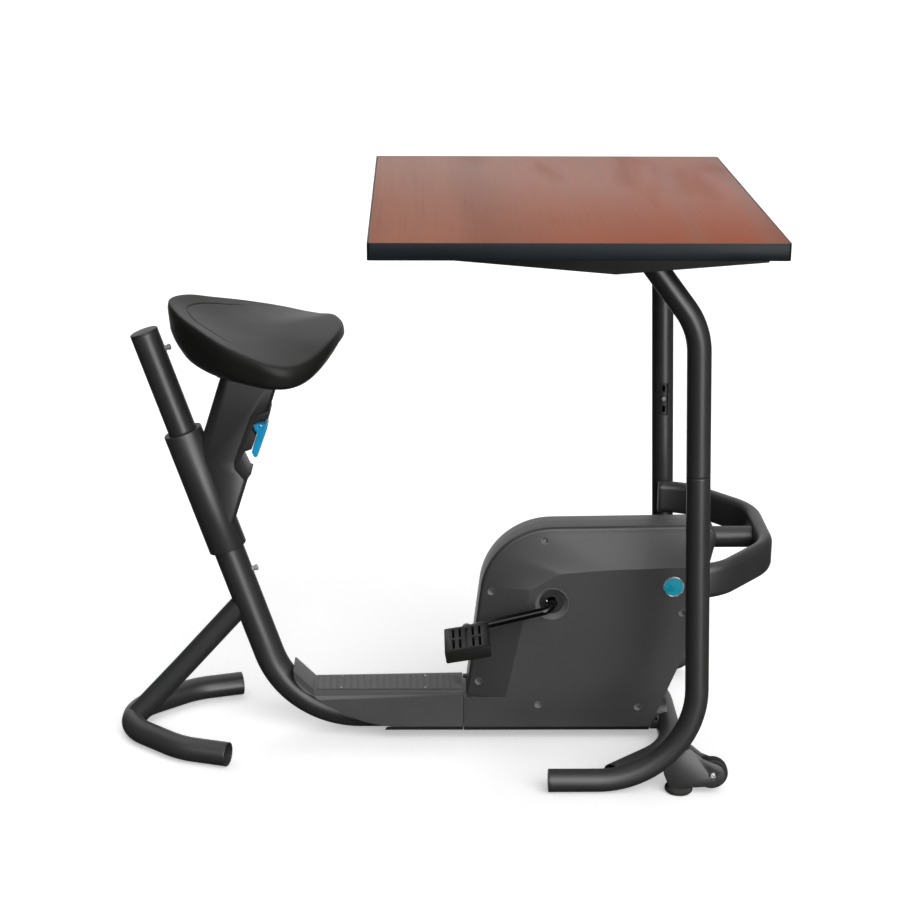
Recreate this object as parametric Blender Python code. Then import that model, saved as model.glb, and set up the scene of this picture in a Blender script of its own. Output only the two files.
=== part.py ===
# Desk exercise bike: a pedal unit with a sliding saddle, joined by a neck and a bumper bar
# to a desk that stands on two bent legs.
# Metres, +Z up. +X is forward, towards the desk. The origin is on the floor under the middle.
import math

import bpy
import bmesh
from mathutils import Vector

# Fits
GAP = 0.0003            # between pieces that are fixed to each other
RUN = 0.0006            # all round a shaft that turns or slides

# How finely round shapes are faceted
TUBE_SIDES = 16
MAIN_SIDES = 20
FLOOR_SIDES = 14
TURN_SIDES = 20
SMALL_SIDES = 14
BEND_STEP = math.radians(13)

# Leg tubes, one on each side of the desk
LEG_OD = 0.0445
LEG_WALL = 0.0025
LEG_Y = 0.280           # the plane that each leg is bent in
LEG_FOOT_END = 0.205    # x of the end that lies on the floor
LEG_FOOT_CORNER = 0.4905
LEG_FOOT_BEND = 0.184
LEG_LEAN = math.radians(2.08)
LEG_SEAM = 0.640        # height where the upper leg is plugged in
LEG_TOP_BEND = 0.140
LEG_TOP_LEAN = math.radians(36.9)
LEG_TOP_RISE = 0.140    # from the corner of its upper bend to its end
LEG_TOP_SINK = 0.048    # from the desk's top down to its end, inside the desk arm
WINDOW_LOW = 0.593      # the window that shows the coupling, on the leg's inner side
WINDOW_HIGH = 0.663
WINDOW_WIDE = 0.018
SLOT_WIDE = 0.006
SLOT_TALL = 0.014
COUPLING_LENGTH = 0.150
COUPLING_WALL = 0.003

# Desk
DESK_BACK = -0.132
DESK_FRONT = 0.585
DESK_WIDE = 0.883
DESK_THICK = 0.030
DESK_HIGH = 1.106
LEG_TOP_END = DESK_HIGH - LEG_TOP_SINK
LEG_TOP_CORNER = LEG_TOP_END - LEG_TOP_RISE
BAND_THICK = 0.0025
BAND_CORNER = 0.006
ARM_BACK = 0.012
ARM_FRONT = 0.572
ARM_LOWEST_X = 0.303
ARM_DEPTH_BACK = 0.029
ARM_DEPTH_FRONT = 0.032
ARM_DEPTH_MID = 0.054
ARM_WIDE = 0.056
ARM_SHEET = 0.0025
ARM_FLANGE = 0.018

# Bumper bar and neck
BAR_TALL = 0.068
BAR_THICK = 0.030
BAR_WALL = 0.0025
BAR_HIGH = 0.418
BAR_FRONT = 0.650
BAR_END = 0.462
BAR_KNEE_X = 0.5175
BAR_FRONT_HALF = 0.1024
BAR_KNEE_BEND = 0.060
BAR_FRONT_BEND = 0.055
BAR_DRAIN = 0.003
NECK_OD = 0.0425
NECK_WALL = 0.0025

# Main tube with its mast
MAIN_OD = 0.061
MAIN_HIGH = 0.037
MAIN_BEND = 0.195
MAST_X = -0.404         # a point on the mast's axis, which the heights along it start from
MAST_Z = 0.339
MAST_LEAN = math.radians(18.7)
MAIN_TOP = 0.238        # along the mast from that point
ROD_OD = 0.0555
ROD_WALL = 0.0025
ROD_LAP = 0.100
ROD_TOP = 0.525
CAP_THICK = 0.004
CAP_PLUG = 0.020
CAP_PLUG_WALL = 0.003
CAP_EDGE = 0.6          # where the cap starts to round, as a share of its height
CAP_FLAT = 0.93
PIN_UPPER = 0.484
PIN_LOWER = 0.002
PIN_OD = 0.012
PIN_PROUD = 0.011

# Floor tubes. The rear one is a U, the front one a C that is welded to both feet.
STAB_OD = 0.048
STAB_WALL = 0.0025
REAR_STAB_APEX = -0.650
REAR_STAB_APEX_HALF = 0.046
REAR_STAB_ELBOW = (0.111, 0.140)    # from the apex forwards, and from the middle outwards
REAR_STAB_END = (0.207, 0.169)
REAR_STAB_BENDS = (0.150, 0.090)
FRONT_STAB_APEX = 0.4875
FRONT_STAB_APEX_HALF = 0.145
FRONT_STAB_END = (0.1335, 0.266)
FRONT_STAB_BEND = 0.170
BRACE_OD = 0.0445
BRACE_WALL = 0.0025
BRACE_TOP_X = -0.388
BRACE_TOP_Z = 0.288
BRACE_KNEE_X = -0.528
BRACE_KNEE_Z = 0.131
BRACE_BEND = 0.300

# Frame inside the shroud
POST_OD = 0.0318
POST_WALL = 0.002
POST_FOOT_X = 0.405
POST_HEAD_X = 0.510
POST_REACH = 1.07       # length as a share of the way from the main tube to the neck's axis
CRANK_X = 0.221
CRANK_Z = 0.2967
SHELL_OD = 0.040
SHELL_WALL = 0.003
SHELL_HALF = 0.026
BEARING_WIDE = 0.010
FLYWHEEL_X = 0.345
FLYWHEEL_Z = 0.235
FLYWHEEL_R = 0.085
FLYWHEEL_WIDE = 0.030
FLYWHEEL_WEB = 0.010
FLYWHEEL_RIM = 0.018
FLY_AXLE_OD = 0.012
FORK_SHEET = 0.004
FORK_SPACE = 0.004
FORK_HALF_LONG = 0.030
FORK_EYE_R = 0.016
FORK_SADDLE = 0.010     # how much of it stands over the main tube
FLYWHEEL_HUB_R = 0.018
SHAFT_PROUD = 0.004
BELT_Y = 0.034
BELT_WIDE = 0.008
BELT_THICK = 0.002
DRIVE_PULLEY_R = 0.095
SMALL_PULLEY_R = 0.018
PULLEY_LIP = 0.002
BRAKE_SWEEP = math.radians(46)
BRAKE_AIR = 0.002
PULLEY_RIM = 0.006
PULLEY_SIDE = 0.002     # each side of the belt
PULLEY_HUB_R = 0.018
PULLEY_WEB = 0.004

# Shroud, two halves that meet on the middle plane
SHROUD_WALL = 0.0025
SHROUD_HALF = 0.058     # to the face of the raised panel
RIM_HALF = 0.038        # to the edge of the sloped border
RIM_ROLL = 0.008
SHROUD_AIR = 0.001      # round the tubes that pass through it
SHROUD_LOW = 0.022
SHROUD_LEDGE = 0.0955
SHROUD_BACK = 0.047
SHROUD_RIM_BACK = 0.053
SHROUD_TOP_BACK = 0.4480
SHROUD_TOP_FRONT = 0.4547
SHROUD_TOP_BACK_X = 0.0947
SHROUD_TOP_BACK_BEND = 0.145
SHROUD_TOP_FRONT_X = 0.5532
SHROUD_TOP_FRONT_BEND = 0.028
SHROUD_FRONT_HIGH = (0.537, 0.379)
SHROUD_FRONT_KNEE = (0.511, 0.2423)
SHROUD_FRONT_LOW = 0.4241
SHROUD_KNEE_BEND = 0.080
CREASE_FOOT_X = 0.132           # the raised panel's own outline, from its foot to its front end
CREASE_BACK = (0.178, 0.327)
CREASE_CORNER = (0.2365, 0.3605)
CREASE_TOP = (0.330, 0.3680)
CREASE_FRONT = (0.500, 0.3745)
CREASE_BEND = 0.030
PANEL_INSET = 0.003     # extra room that the inner wall leaves behind the raised panel
HUB_WINDOW_R = 0.030
HUB_DEPTH = 0.010
HUB_SHEET = 0.002
HUB_BORE_R = 0.0115

# Base cover
COVER_HALF = 0.057
COVER_WALL = 0.0025
COVER_DECK = 0.101
COVER_DECK_HALF = 0.035
COVER_SHOULDER_HALF = 0.052
COVER_SHOULDER = 0.095
COVER_SIDE_TOP = 0.088
COVER_FRONT = {"deck_half": 0.048, "shoulder_half": 0.0535, "shoulder": 0.0995, "side_top": 0.0970}
RAMP_FOOT = -0.255
RAMP_HEAD = -0.298
RAMP_RISE = 0.043
COVER_CUT = [(-0.050, 0.0215), (-0.170, 0.040), (-0.290, 0.117), (-0.306, 0.178)]     # follows the main tube
COVER_CUT_BENDS = (0.250, 0.070)
COVER_RIB = 0.003
COVER_RIB_PLACES = (-0.150, -0.060, 0.030)
TREAD_HALF = 0.032
TREAD_BASE = 0.0012
TREAD_RIB = 0.0010
TREAD_PITCH = 0.0135
TREAD_RIB_WIDE = 0.0100

# Crank and pedals
CRANK_BAR_OD = 0.016
CRANK_LENGTH = 0.175
CRANK_DROP = math.radians(14.0)
CRANK_ARM_Y = 0.085
CRANK_BEND = 0.022
CRANK_EYE_R = 0.0135
CRANK_EYE_WIDE = 0.017
PEDAL_MID_Y = 0.1525
PEDAL_ROUND = 0.003
SPINDLE_OD = 0.008
PEDAL_LONG = 0.088
PEDAL_WIDE = 0.114
PEDAL_THICK = 0.0245
PEDAL_TILT = math.radians(9.6)
PEDAL_GROOVE = 0.0045
PEDAL_RIB = 0.0084
PEDAL_GROOVE_DEEP = 0.0045
PEDAL_RIM = 0.010
PEDAL_WEB = 0.010       # left across the through grooves, under the middle of the foot

# Transport wheels and levelling feet
WHEEL_X = 0.519
WHEEL_Z = 0.039
WHEEL_R = 0.031
WHEEL_WIDE = 0.020
WHEEL_BOLT_OD = 0.008
BRACKET_SPACE = 0.024
BRACKET_SHEET = 0.003
BRACKET_LOW = 0.0135
BRACKET_EYE_R = 0.024
BRACKET_FLOOR_BACK = 0.020      # how far its floor runs behind and ahead of the levelling foot
BRACKET_FLOOR_FRONT = 0.030
BRACKET_TOP = [(0.500, 0.073), (0.473, 0.096), (0.455, 0.090), (0.428, 0.070), (0.425, 0.043)]
FOOT_X = 0.457
FOOT_R = 0.027
FOOT_STEM_R = 0.005
FOOT_STEM_TOP = 0.034

# Seat carriage
SLEEVE_OD = 0.0765
SLEEVE_WALL = 0.0025
SLEEVE_LOW = 0.061      # along the mast
SLEEVE_LONG = 0.256
SLEEVE_CHAMFER = 0.0015
BUSH_LONG = 0.030
BUSH_LIP = 0.002
COLUMN_WIDE = 0.109
COLUMN_THICK = 0.056
COLUMN_WALL = 0.003
COLUMN_REAR_ROUND = 0.022
COLUMN_FRONT_ROUND = 0.010
COLUMN_X = -0.374
COLUMN_Z = 0.740
COLUMN_LEAN = math.radians(17.75)
COLUMN_TOP = 0.757
COLUMN_REACH = 0.330    # length before the lower end is cut to the sleeve
PLATE_LONG = 0.130
PLATE_WIDE = 0.090
PLATE_THICK = 0.004

# Lever and the housing let into the column's front edge, measured along the column
HOUSING_PROUD = 0.0012
LEVER_PIN_ALONG = -0.0735
LEVER_PIN_ACROSS = 0.0470
LEVER_PIN_OD = 0.005
LEVER_HALF = 0.024
LUG_HALF = 0.007
LUG_R = 0.0055
LUG_ROOT = 0.0295       # where the lug starts, behind the notch's floor

# The outlines of the lever, of its notch and of the housing: (across, along) in the column's own frame
LEVER_OUTLINE = [(0.0368, -0.0814), (0.0358, -0.0722), (0.0577, -0.0642), (0.0614, -0.0748),
                 (0.0595, -0.1320), (0.0560, -0.1405), (0.0460, -0.1297), (0.0473, -0.0920)]
LEVER_ROUNDS = [0.002, 0.003, 0.002, 0.003, 0.002, 0.0035, 0.002, 0.004]
NOTCH_OUTLINE = [(0.0685, -0.0480), (0.0583, -0.0515), (0.0335, -0.0700), (0.0335, -0.0850), (0.0455, -0.0945),
                 (0.0443, -0.1225), (0.0325, -0.1310), (0.0305, -0.1453), (0.0517, -0.1693), (0.0685, -0.1693)]
NOTCH_ROUNDS = [0, 0.003, 0.004, 0.004, 0.002, 0.003, 0.004, 0.006, 0.003, 0]
HOUSING_OUTLINE = [(0.0235, -0.0597), (0.0575, -0.0337), (0.0575, -0.1710), (0.0520, -0.1902),
                   (0.0239, -0.1723), (0.0185, -0.1575)]
HOUSING_ROUNDS = [0.006, 0.003, 0.003, 0.003, 0.006, 0.006]

# Saddle: x, half width, and the heights of the rim, of the skirt's lower edge and of the belly
SEAT_STATIONS = [
    (-0.5235, 0.000, 0.905, 0.850, 0.806),
    (-0.4985, 0.082, 0.896, 0.842, 0.800),
    (-0.4535, 0.137, 0.878, 0.826, 0.790),
    (-0.4035, 0.187, 0.860, 0.810, 0.787),
    (-0.3535, 0.217, 0.845, 0.801, 0.784),
    (-0.3135, 0.232, 0.834, 0.795, 0.783),
    (-0.2735, 0.221, 0.828, 0.793, 0.783),
    (-0.2395, 0.180, 0.833, 0.800, 0.786),
    (-0.2075, 0.108, 0.848, 0.822, 0.794),
    (-0.1885, 0.000, 0.854, 0.834, 0.806),
]
SEAT_SPINE = [(-0.5235, 0.903), (-0.4635, 0.874), (-0.3935, 0.853),
              (-0.3235, 0.843), (-0.2535, 0.845), (-0.1885, 0.852)]
SEAT_MIDDLE = -0.3685
SEAT_AROUND = 44
SEAT_BASE_LONG = 0.150
SEAT_BASE_WIDE = 0.100
SEAT_BASE_LIFT = 0.004
SEAT_TOP_SHARES = (0.12, 0.45, 0.75, 0.93)      # rings of the top, as shares of the way out to the rim
SEAT_SIDE_RINGS = ((1.0, -0.004), (1.008, -0.014))      # share and lift of the rings that turn it down
SEAT_SKIRT_SHARE = 0.985
SEAT_BELLY_SHARE = 0.85
SEAT_DISH = 2.5         # how late the top rises towards its rim

# Finishes: colour, roughness, metallic
FINISHES = {
    "powder_black": ((0.028, 0.029, 0.031), 0.42, 0.35),
    "shroud_grey": ((0.055, 0.056, 0.058), 0.50, 0.0),
    "cover_grey": ((0.075, 0.077, 0.080), 0.55, 0.0),
    "tread_grey": ((0.120, 0.122, 0.125), 0.70, 0.0),
    "seat_black": ((0.018, 0.018, 0.019), 0.45, 0.0),
    "cherry": ((0.300, 0.085, 0.040), 0.35, 0.0),
    "edge_black": ((0.022, 0.026, 0.032), 0.40, 0.0),
    "lever_blue": ((0.010, 0.330, 0.830), 0.35, 0.0),
    "plastic_black": ((0.020, 0.020, 0.021), 0.50, 0.0),
    "rubber_black": ((0.012, 0.012, 0.012), 0.85, 0.0),
    "crank_black": ((0.010, 0.010, 0.010), 0.20, 0.6),
    "steel": ((0.550, 0.550, 0.560), 0.30, 1.0),
    "cast_grey": ((0.200, 0.200, 0.210), 0.55, 0.8),
    "pin_grey": ((0.420, 0.430, 0.440), 0.45, 0.0),
}

X_AXIS = Vector((1, 0, 0))
Y_AXIS = Vector((0, 1, 0))
Z_AXIS = Vector((0, 0, 1))
SIDES = {"right": -1, "left": 1}

MAST_UP = Vector((-math.sin(MAST_LEAN), 0, math.cos(MAST_LEAN)))
MAST_FORE = Vector((math.cos(MAST_LEAN), 0, math.sin(MAST_LEAN)))
COLUMN_UP = Vector((math.sin(COLUMN_LEAN), 0, math.cos(COLUMN_LEAN)))
COLUMN_FORE = Vector((math.cos(COLUMN_LEAN), 0, -math.sin(COLUMN_LEAN)))
COLUMN_MID = Vector((COLUMN_X, 0, COLUMN_Z))


# Shape helpers

def mast_point(along, across=0.0):
    return Vector((MAST_X, 0, MAST_Z)) + MAST_UP * along + MAST_FORE * across


def column_point(along, across=0.0, y=0.0):
    return COLUMN_MID + COLUMN_UP * along + COLUMN_FORE * across + Y_AXIS * y


def bent_route(corners, bends, step=BEND_STEP):
    """Points along straight runs joined by round bends, one bend for each inner corner."""
    corners = [Vector(corner) for corner in corners]
    points = [corners[0]]
    for before, corner, after, radius in zip(corners, corners[1:], corners[2:], bends):
        way_in = (corner - before).normalized()
        way_out = (after - corner).normalized()
        turn = way_in.angle(way_out)
        reach = radius * math.tan(turn / 2)
        inward = (way_out - way_in).normalized()
        centre = corner + inward * (radius / math.cos(turn / 2))
        start = corner - way_in * reach - centre
        sideways = way_in * radius
        pieces = max(2, math.ceil(turn / step))
        for number in range(pieces + 1):
            angle = turn * number / pieces
            points.append(centre + start * math.cos(angle) + sideways * math.sin(angle))
    points.append(corners[-1])
    return points


def rounded(corners, radii, step=math.radians(18)):
    """A closed flat outline with its corners rounded. A radius of 0 leaves a sharp corner."""
    count = len(corners)
    if not isinstance(radii, (list, tuple)):
        radii = [radii] * count
    outline = []
    for index, radius in enumerate(radii):
        before = Vector((*corners[index - 1], 0))
        corner = Vector((*corners[index], 0))
        after = Vector((*corners[(index + 1) % count], 0))
        if radius == 0:
            outline.append(corner.xy.to_tuple())
            continue
        bend = bent_route([before, corner, after], [radius], step)[1:-1]
        outline += [point.xy.to_tuple() for point in bend]
    return outline


def arc(centre, radius, start, end, pieces):
    """Flat points on a round stretch, angles in radians."""
    angles = [start + (end - start) * number / pieces for number in range(pieces + 1)]
    return [(centre[0] + radius * math.cos(a), centre[1] + radius * math.sin(a)) for a in angles]


def circle(radius, sides):
    return [(radius * math.cos(math.tau * k / sides), radius * math.sin(math.tau * k / sides))
            for k in range(sides)]


def sweep(route, section, normal):
    """Rings of a section carried along a flat route. normal is square to the route's plane."""
    ways = [(b - a).normalized() for a, b in zip(route, route[1:])]
    rings = []
    for index, point in enumerate(route):
        way_in = ways[max(index - 1, 0)]
        way_out = ways[min(index, len(ways) - 1)]
        tangent = (way_in + way_out).normalized()
        mitre = 1 / max(tangent.dot(way_in), 0.5)
        across = tangent.cross(normal).normalized()
        rings.append([point + normal * a + across * (b * mitre) for a, b in section])
    return rings


def skin(rings, closed=False):
    """One closed body from rings of points, with flat ends unless the rings close on themselves."""
    bm = bmesh.new()
    loops = [[bm.verts.new(point) for point in ring] for ring in rings]
    pairs = list(zip(loops, loops[1:]))
    if closed:
        pairs.append((loops[-1], loops[0]))
    for first, second in pairs:
        for a in range(len(first)):
            b = (a + 1) % len(first)
            bm.faces.new((first[a], first[b], second[b], second[a]))
    if not closed:
        bm.faces.new(list(reversed(loops[0])))
        bm.faces.new(loops[-1])
    bmesh.ops.recalc_face_normals(bm, faces=bm.faces)
    return bm


def rod(route, radius, normal, sides=TUBE_SIDES):
    return skin(sweep(route, circle(radius, sides), normal))


def tube(route, radius, wall, normal, sides=TUBE_SIDES, start_plate=0.0):
    """A hollow tube, open at both ends, or closed at its start by a plate of that thickness."""
    outer = sweep(route, circle(radius, sides), normal)
    core = list(route)
    if start_plate:
        core[0] = route[0] + (route[1] - route[0]).normalized() * start_plate
    inner = sweep(core, circle(radius - wall, sides), normal)
    return skin(outer + list(reversed(inner)), closed=not start_plate)


def turned(profile, origin, axis, sides=SMALL_SIDES, closed=False):
    """A revolved body. The profile holds (radius, place along the axis)."""
    origin = Vector(origin)
    axis = Vector(axis).normalized()
    helper = Z_AXIS if abs(axis.z) < 0.9 else X_AXIS
    u = axis.cross(helper).normalized()
    v = axis.cross(u)
    rings = []
    for radius, place in profile:
        ring = []
        for k in range(sides):
            angle = math.tau * k / sides
            ring.append(origin + axis * place + u * (radius * math.cos(angle))
                        + v * (radius * math.sin(angle)))
        rings.append(ring)
    return skin(rings, closed)


def washer(inner, outer, low, high, origin, axis, sides=TURN_SIDES):
    """A ring with a square section."""
    profile = [(outer, low), (outer, high), (inner, high), (inner, low)]
    return turned(profile, origin, axis, sides, closed=True)


def prism(outline, low, high, origin=(0, 0, 0), u=X_AXIS, v=Z_AXIS, w=Y_AXIS):
    """A flat outline pushed from low to high along w."""
    origin = Vector(origin)
    rings = [[origin + u * a + v * b + w * level for a, b in outline] for level in (low, high)]
    return skin(rings)


def block(low, high):
    outline = [(low[0], low[2]), (high[0], low[2]), (high[0], high[2]), (low[0], high[2])]
    return prism(outline, low[1], high[1])


# Objects

PIVOTS = {
    "frame": Vector((0, 0, 0)),
    "crank": Vector((CRANK_X, 0, CRANK_Z)),
    "flywheel": Vector((FLYWHEEL_X, 0, FLYWHEEL_Z)),
    "carriage": mast_point(0),
    "lever": column_point(LEVER_PIN_ALONG, LEVER_PIN_ACROSS),
}
for side, sign in SIDES.items():
    PIVOTS["wheel_" + side] = Vector((WHEEL_X, sign * LEG_Y, WHEEL_Z))


def add(name, bm, finish, body="frame", smooth=35):
    """A named piece with its own material and its origin on the joint that it turns on."""
    pivot = PIVOTS[body]
    bmesh.ops.translate(bm, verts=bm.verts, vec=-pivot)
    mesh = bpy.data.meshes.new(name)
    bm.to_mesh(mesh)
    bm.free()
    mesh.shade_smooth()
    mesh.set_sharp_from_angle(angle=math.radians(smooth))
    piece = bpy.data.objects.new(name, mesh)
    piece.location = pivot
    bpy.context.collection.objects.link(piece)
    colour, roughness, metallic = FINISHES[finish]
    material = bpy.data.materials.new(name + "_finish")
    material.use_nodes = True
    shader = material.node_tree.nodes["Principled BSDF"]
    shader.inputs["Base Color"].default_value = (*colour, 1)
    shader.inputs["Roughness"].default_value = roughness
    shader.inputs["Metallic"].default_value = metallic
    mesh.materials.append(material)
    return piece


def shape(piece, tools, operation="DIFFERENCE", smooth=35):
    """Cut the tools out of the piece, or weld them on with UNION. The tools are used up."""
    for bm in tools:
        mesh = bpy.data.meshes.new("tool")
        bm.to_mesh(mesh)
        bm.free()
        tool = bpy.data.objects.new("tool", mesh)
        bpy.context.collection.objects.link(tool)
        modifier = piece.modifiers.new("shape", "BOOLEAN")
        modifier.operation = operation
        modifier.solver = "EXACT"
        modifier.object = tool
        bpy.context.view_layer.update()
        result = bpy.data.meshes.new_from_object(piece.evaluated_get(bpy.context.evaluated_depsgraph_get()))
        piece.modifiers.clear()
        piece.data = result
        bpy.data.objects.remove(tool, do_unlink=True)
    piece.data.shade_smooth()
    piece.data.set_sharp_from_angle(angle=math.radians(smooth))
    return piece


# Legs

def leg_point(height, y):
    rise = height - LEG_OD / 2
    return Vector((LEG_FOOT_CORNER - rise * math.tan(LEG_LEAN), y, height))


def lower_leg_route(y, top=LEG_SEAM):
    foot = Vector((LEG_FOOT_END, y, LEG_OD / 2))
    return bent_route([foot, leg_point(LEG_OD / 2, y), leg_point(top, y)], [LEG_FOOT_BEND])


def upper_leg_route(y):
    corner = leg_point(LEG_TOP_CORNER, y)
    rise = LEG_TOP_END - LEG_TOP_CORNER
    end = corner + Vector((-rise * math.tan(LEG_TOP_LEAN), 0, rise))
    return bent_route([leg_point(LEG_SEAM + GAP, y), corner, end], [LEG_TOP_BEND])


def leg_window(y, sign):
    middle = leg_point((WINDOW_LOW + WINDOW_HIGH) / 2, y)
    skin_y = y - sign * LEG_OD / 2
    deep = skin_y + sign * (LEG_WALL + 0.0015)
    shallow = skin_y - sign * 0.002
    low = (middle.x - WINDOW_WIDE / 2, min(deep, shallow), WINDOW_LOW)
    high = (middle.x + WINDOW_WIDE / 2, max(deep, shallow), WINDOW_HIGH)
    return block(low, high)


def coupling_slots(y, sign):
    """Two slots in the coupling that show through the window."""
    skin_y = y - sign * LEG_OD / 2
    deep = y - sign * (LEG_OD / 2 - LEG_WALL - COUPLING_WALL - 0.002)
    for height in (WINDOW_LOW + 0.013, WINDOW_HIGH - 0.013):
        middle = leg_point(height, y)
        low = (middle.x - SLOT_WIDE / 2, min(skin_y, deep), height - SLOT_TALL / 2)
        high = (middle.x + SLOT_WIDE / 2, max(skin_y, deep), height + SLOT_TALL / 2)
        yield block(low, high)


def make_legs():
    for side, sign in SIDES.items():
        y = sign * LEG_Y
        lower = tube(lower_leg_route(y), LEG_OD / 2, LEG_WALL, Y_AXIS, start_plate=LEG_WALL)
        shape(add("lower_leg_" + side, lower, "powder_black"), [leg_window(y, sign)])
        upper = tube(upper_leg_route(y), LEG_OD / 2, LEG_WALL, Y_AXIS)
        shape(add("upper_leg_" + side, upper, "powder_black"), [leg_window(y, sign)])
        ends = [leg_point(LEG_SEAM - COUPLING_LENGTH / 2, y), leg_point(LEG_SEAM + COUPLING_LENGTH / 2, y)]
        coupling = tube(ends, LEG_OD / 2 - LEG_WALL - GAP, COUPLING_WALL, Y_AXIS)
        shape(add("leg_coupling_" + side, coupling, "powder_black"), coupling_slots(y, sign))


# Desk

DESK_LOW = DESK_HIGH - DESK_THICK


def desk_outline(inset, corner):
    low_x, high_x, half = DESK_BACK + inset, DESK_FRONT - inset, DESK_WIDE / 2 - inset
    return rounded([(low_x, -half), (high_x, -half), (high_x, half), (low_x, half)], corner)


def make_desk():
    inset = BAND_THICK + GAP
    top = prism(desk_outline(inset, BAND_CORNER - BAND_THICK), DESK_LOW, DESK_HIGH,
                v=Y_AXIS, w=Z_AXIS)
    add("desk_top", top, "cherry")
    outer = desk_outline(0, BAND_CORNER)
    inner = desk_outline(BAND_THICK, BAND_CORNER - BAND_THICK)
    rings = [[Vector((x, y, z)) for x, y in outline]
             for outline, z in ((outer, DESK_LOW), (outer, DESK_HIGH), (inner, DESK_HIGH), (inner, DESK_LOW))]
    add("desk_edge_band", skin(rings, closed=True), "edge_black")


def desk_arm_outline(inset, top):
    """The folded channel under the desk, seen from the side, deepest at its middle."""
    return [(ARM_BACK + inset, top),
            (ARM_BACK + inset, DESK_LOW - ARM_DEPTH_BACK + inset),
            (ARM_LOWEST_X, DESK_LOW - ARM_DEPTH_MID + inset),
            (ARM_FRONT - inset, DESK_LOW - ARM_DEPTH_FRONT + inset),
            (ARM_FRONT - inset, top)]


def make_desk_arms():
    seat = DESK_LOW - GAP
    for side, sign in SIDES.items():
        y = sign * LEG_Y
        half = ARM_WIDE / 2
        arm = add("desk_arm_" + side, prism(desk_arm_outline(0, seat), y - half, y + half), "powder_black")
        inner_half = half - ARM_SHEET
        hollow = prism(desk_arm_outline(ARM_SHEET, seat + 0.01), y - inner_half, y + inner_half)
        flange_low = (ARM_BACK, 0, seat - ARM_SHEET)
        flange_high = (ARM_FRONT, 0, seat)
        flanges = []
        for way in (-1, 1):
            inner_y = y + way * (half - ARM_SHEET / 2)
            outer_y = y + way * (half + ARM_FLANGE)
            flanges.append(block((flange_low[0], min(inner_y, outer_y), flange_low[2]),
                                 (flange_high[0], max(inner_y, outer_y), flange_high[2])))
        shape(arm, [hollow])
        shape(arm, flanges, "UNION")
        shape(arm, [rod(upper_leg_route(y)[-2:], LEG_OD / 2 + GAP, Y_AXIS)])


# Bumper bar, neck and posts

BAR_END_Y = LEG_Y - LEG_OD / 2 - GAP - BAR_THICK / 2


def stadium(tall, thick, pieces=5):
    """A flat-oval section: (up, across)."""
    lift = tall / 2 - thick / 2
    top = arc((lift, 0), thick / 2, -math.pi / 2, math.pi / 2, pieces)
    low = arc((-lift, 0), thick / 2, math.pi / 2, 3 * math.pi / 2, pieces)
    return top + low


def bar_route(trim=0.0):
    front = BAR_FRONT - BAR_THICK / 2
    half = [(BAR_END + trim, BAR_END_Y), (BAR_KNEE_X, BAR_END_Y), (front, BAR_FRONT_HALF)]
    corners = [(x, -y, BAR_HIGH) for x, y in half] + [(x, y, BAR_HIGH) for x, y in reversed(half)]
    return bent_route(corners, [BAR_KNEE_BEND, BAR_FRONT_BEND, BAR_FRONT_BEND, BAR_KNEE_BEND])


def make_bar():
    outer = skin(sweep(bar_route(), stadium(BAR_TALL, BAR_THICK), Z_AXIS))
    bar = add("front_bar", outer, "powder_black")
    core_section = stadium(BAR_TALL - 2 * BAR_WALL, BAR_THICK - 2 * BAR_WALL)
    core = skin(sweep(bar_route(BAR_WALL), core_section, Z_AXIS))
    drain_x = BAR_FRONT - BAR_THICK / 2
    drain = turned([(BAR_DRAIN, -BAR_TALL), (BAR_DRAIN, -BAR_TALL / 4)], (drain_x, 0, BAR_HIGH), Z_AXIS, 12)
    shape(bar, [core, drain])


def post_route():
    way = Vector((POST_HEAD_X - POST_FOOT_X, 0, BAR_HIGH - MAIN_HIGH))
    foot = Vector((POST_FOOT_X, 0, MAIN_HIGH))
    return [foot, foot + way * POST_REACH]


def main_space():
    """The room that the main tube takes, for what is fitted round it."""
    return rod(main_route(), MAIN_OD / 2 + GAP, Y_AXIS, MAIN_SIDES)


def make_posts():
    post = tube(post_route(), POST_OD / 2, POST_WALL, Y_AXIS)
    shape(add("front_post", post, "powder_black"), [main_space()])
    ends = [Vector((POST_HEAD_X, 0, BAR_HIGH)), Vector((BAR_FRONT - BAR_THICK - GAP, 0, BAR_HIGH))]
    neck = tube(ends, NECK_OD / 2, NECK_WALL, Y_AXIS, MAIN_SIDES)
    post_cut = rod(post_route(), POST_OD / 2 + GAP, Y_AXIS)
    behind = block((POST_HEAD_X - 0.03, -NECK_OD, BAR_HIGH - NECK_OD),
                   (POST_HEAD_X, NECK_OD, BAR_HIGH + NECK_OD))
    shape(add("neck_tube", neck, "powder_black"), [post_cut, behind])


# Main tube, mast, brace and floor tubes

def main_route():
    low = (MAIN_HIGH - MAST_Z) / MAST_UP.z
    corner = mast_point(low)
    front = Vector((FRONT_STAB_APEX - STAB_OD / 2, 0, MAIN_HIGH))
    return bent_route([mast_point(MAIN_TOP), corner, front], [MAIN_BEND])


def front_stab_route():
    apex = FRONT_STAB_APEX - STAB_OD / 2
    end = (apex - FRONT_STAB_END[0], FRONT_STAB_END[1])
    high = STAB_OD / 2
    corners = [(end[0], -end[1], high), (apex, -FRONT_STAB_APEX_HALF, high),
               (apex, FRONT_STAB_APEX_HALF, high), (end[0], end[1], high)]
    return bent_route(corners, [FRONT_STAB_BEND, FRONT_STAB_BEND])


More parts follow.
